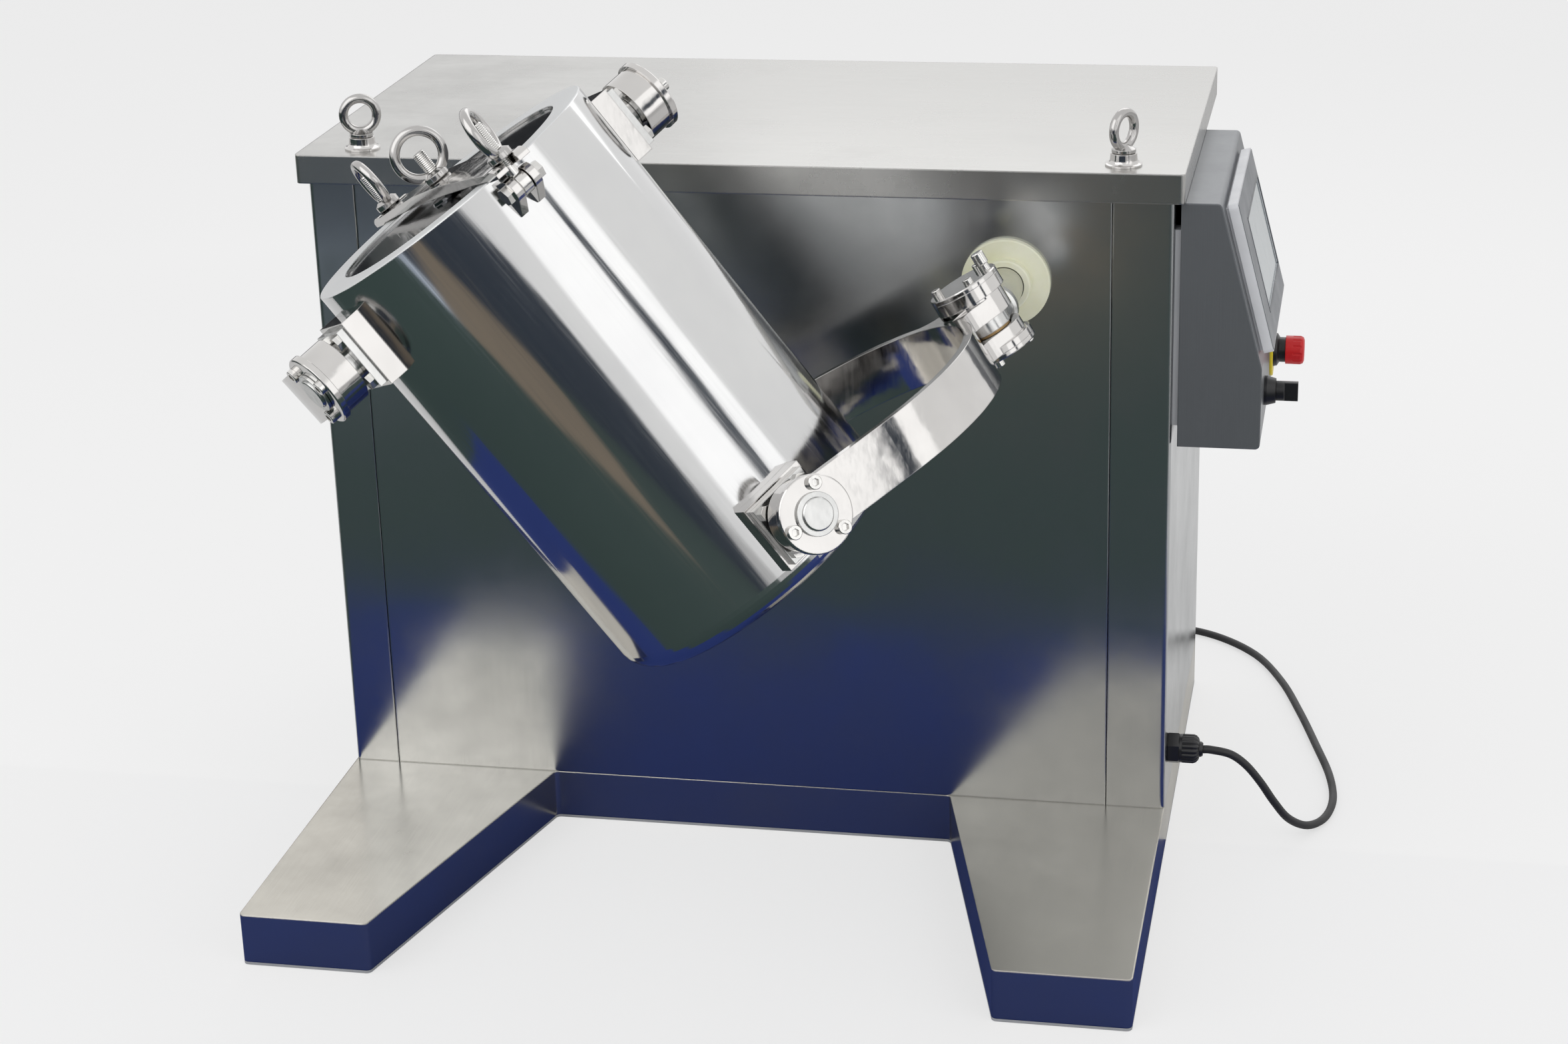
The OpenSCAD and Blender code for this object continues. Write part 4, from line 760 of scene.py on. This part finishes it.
def cable_gland():
    """Outside the wall a hexagon, neck, dome nut and seal; inside it a thread and a locknut."""
    low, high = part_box("cable_gland")
    centre = Vector((WALL_X * MM, (low[1] + high[1]) / 2, (low[2] + high[2]) / 2))
    place = Matrix.Translation(centre) @ Matrix.Rotation(math.radians(90), 4, "Y")
    end = GLAND_BODY
    hexagon = [(17.0, 0), (17.8, 0.8), (17.8, end - 1.5), (16.6, end)]
    neck = [(15.0, end - 0.5), (15.6, end), (15.6, end + 3)]
    dome = [(15.9, end + 3), (16.0, end + 15), (14.8, end + 18), (12.0, end + 20.5), (8.5, 34.5)]
    seal = [(8.5, 33), (8.4, 36), (7.2, 38)]
    thread = [(14.0, -12.9), (14.0, 0.1)]
    locknut = [(18.0, -10), (18.0, -2)]
    bm = bmesh.new()
    lathe(bm, place, hexagon, steps=HEXAGON)
    lathe(bm, place, neck)
    lathe(bm, place, dome, steps=DOME_STEPS, radius_at=ribbed)
    lathe(bm, place, seal)
    lathe(bm, place, thread)
    lathe(bm, place, locknut, steps=HEXAGON)
    piece = add_piece("cable_gland_ribbed", bm, "black_plastic", "frame")
    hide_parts("cable_gland")


cable_gland()


# Light, world and floor

WORLD_FILL = 0.62
FLOOR_SIZE = 30
FLOOR_Z = -0.5 * MM
FLOOR_GLOW = 0.6


def make_world():
    """White to the camera, to reflections and through glass, and a softer fill on the rest."""
    world = bpy.data.worlds.new("studio")
    bpy.context.scene.world = world
    world.use_nodes = True
    nodes, links = world.node_tree.nodes, world.node_tree.links
    background = nodes["Background"]
    background.inputs["Color"].default_value = (1, 1, 1, 1)
    path = nodes.new("ShaderNodeLightPath")
    seen = path.outputs["Is Camera Ray"]
    for ray in ("Is Glossy Ray", "Is Transmission Ray"):
        either = nodes.new("ShaderNodeMath")
        either.operation = "MAXIMUM"
        links.new(seen, either.inputs[0])
        links.new(path.outputs[ray], either.inputs[1])
        seen = either.outputs[0]
    level = nodes.new("ShaderNodeMapRange")
    level.inputs["To Min"].default_value = WORLD_FILL
    level.inputs["To Max"].default_value = 1.0
    links.new(seen, level.inputs["Value"])
    links.new(level.outputs["Result"], background.inputs["Strength"])


def make_floor():
    """A pale floor that looks nearly white to the camera and keeps the object's shadow."""
    bm = bmesh.new()
    bmesh.ops.create_grid(bm, x_segments=1, y_segments=1, size=FLOOR_SIZE)
    mesh = bpy.data.meshes.new("floor")
    bm.to_mesh(mesh)
    bm.free()
    floor = bpy.data.objects.new("floor", mesh)
    floor.location.z = FLOOR_Z
    bpy.context.collection.objects.link(floor)
    made = Finish("floor", (0.86, 0.86, 0.86), 0.7)
    path = made.node("ShaderNodeLightPath")
    share = made.node("ShaderNodeMath", operation="MULTIPLY")
    share.inputs[1].default_value = FLOOR_GLOW
    made.links.new(path.outputs["Is Camera Ray"], share.inputs[0])
    glow = made.node("ShaderNodeEmission")
    mix = made.node("ShaderNodeMixShader")
    output = made.nodes["Material Output"]
    made.links.new(share.outputs[0], mix.inputs["Fac"])
    made.links.new(made.shader.outputs["BSDF"], mix.inputs[1])
    made.links.new(glow.outputs["Emission"], mix.inputs[2])
    made.links.new(mix.outputs["Shader"], output.inputs["Surface"])
    mesh.materials.append(made.material)


def area_light(name, place, target, size, power):
    """A rectangular lamp at a place, turned to its target."""
    data = bpy.data.lights.new(name, "AREA")
    data.shape = "RECTANGLE"
    data.size, data.size_y = size
    data.energy = power
    lamp = bpy.data.objects.new(name, data)
    bpy.context.collection.objects.link(lamp)
    lamp.location = place
    lamp.rotation_euler = (Vector(target) - Vector(place)).to_track_quat("-Z", "Y").to_euler()


def flag(name, corners, color):
    """A card that only reflections see, as a studio sets beside bright metal."""
    bm = bmesh.new()
    bm.faces.new([bm.verts.new(corner) for corner in corners])
    mesh = bpy.data.meshes.new(name)
    bm.to_mesh(mesh)
    bm.free()
    card = bpy.data.objects.new(name, mesh)
    bpy.context.collection.objects.link(card)
    mesh.materials.append(Finish(name, color, 1.0).material)
    for ray in ("camera", "diffuse", "shadow", "transmission", "volume_scatter"):
        setattr(card, "visible_" + ray, False)


# The photograph's room mirrors in the steel: a blue floor near the legs, then green, then a
# pale streak, slate and warm grey
BLUE_CARD = (0.025, 0.05, 0.23)
GREEN_CARD = (0.045, 0.075, 0.07)
WARM_CARD = (0.25, 0.205, 0.155)
SLATE_CARD = (0.05, 0.065, 0.09)
PALE_CARD = (0.6, 0.68, 0.8)
BLACK_CARD = (0.02, 0.022, 0.026)
FLOOR_CARD_Z = -0.2 * MM
# Reach in Y of the rows of floor cards
NEAR_ROW = (-0.85, -0.2)
MIDDLE_ROW = (-2.2, -0.85)
STREAK_ROW = (-2.4, -2.2)
SLATE_ROW = (-3.6, -2.4)
FAR_ROW = (-3.6, -2.2)


def floor_flag(name, xs, ys, color):
    """A card over a stretch of the floor in front of the cabinet."""
    corners = [(xs[0], ys[0]), (xs[1], ys[0]), (xs[1], ys[1]), (xs[0], ys[1])]
    flag(name, [(x, y, FLOOR_CARD_Z) for x, y in corners], color)


def wall_flag(name, start, end, zs, color):
    """An upright card between two points of the floor."""
    corners = [(*start, zs[0]), (*end, zs[0]), (*end, zs[1]), (*start, zs[1])]
    flag(name, corners, color)


make_world()
make_floor()
area_light("key", (-1.6, -2.4, 2.6), (0, -0.3, 0.5), (3.4, 3.0), 32)
area_light("fill", (2.4, -1.8, 1.9), (0, -0.2, 0.5), (2.4, 3.0), 12)
area_light("back", (0.4, 2.2, 2.4), (0, 0, 0.7), (2.4, 1.6), 11)
floor_flag("near_floor_flag", (-0.75, 1.2), NEAR_ROW, BLUE_CARD)
floor_flag("left_floor_flag", (-2.4, -0.75), NEAR_ROW, GREEN_CARD)
floor_flag("middle_floor_flag", (-2.4, 2.0), MIDDLE_ROW, GREEN_CARD)
floor_flag("streak_floor_flag", (-2.4, -0.6), STREAK_ROW, PALE_CARD)
floor_flag("far_left_floor_flag", (-2.4, -0.6), SLATE_ROW, SLATE_CARD)
floor_flag("far_floor_flag", (-0.6, 0.2), FAR_ROW, WARM_CARD)
floor_flag("right_floor_flag", (0.2, 2.0), FAR_ROW, GREEN_CARD)
wall_flag("front_flag", (-2.4, -3.6), (1.6, -3.6), (0, 1.0), SLATE_CARD)
wall_flag("far_flag", (-1.88, 1.84), (-0.98, 2.26), (0.2, 1.0), BLACK_CARD)
wall_flag("right_flag", (1.5, -1.3), (1.5, -1.1), (0.2, 1.8), SLATE_CARD)
wall_flag("left_flag", (-1.7, -3.0), (-1.7, 0.2), (0, 0.75), GREEN_CARD)

bpy.context.scene.view_settings.view_transform = "Standard"
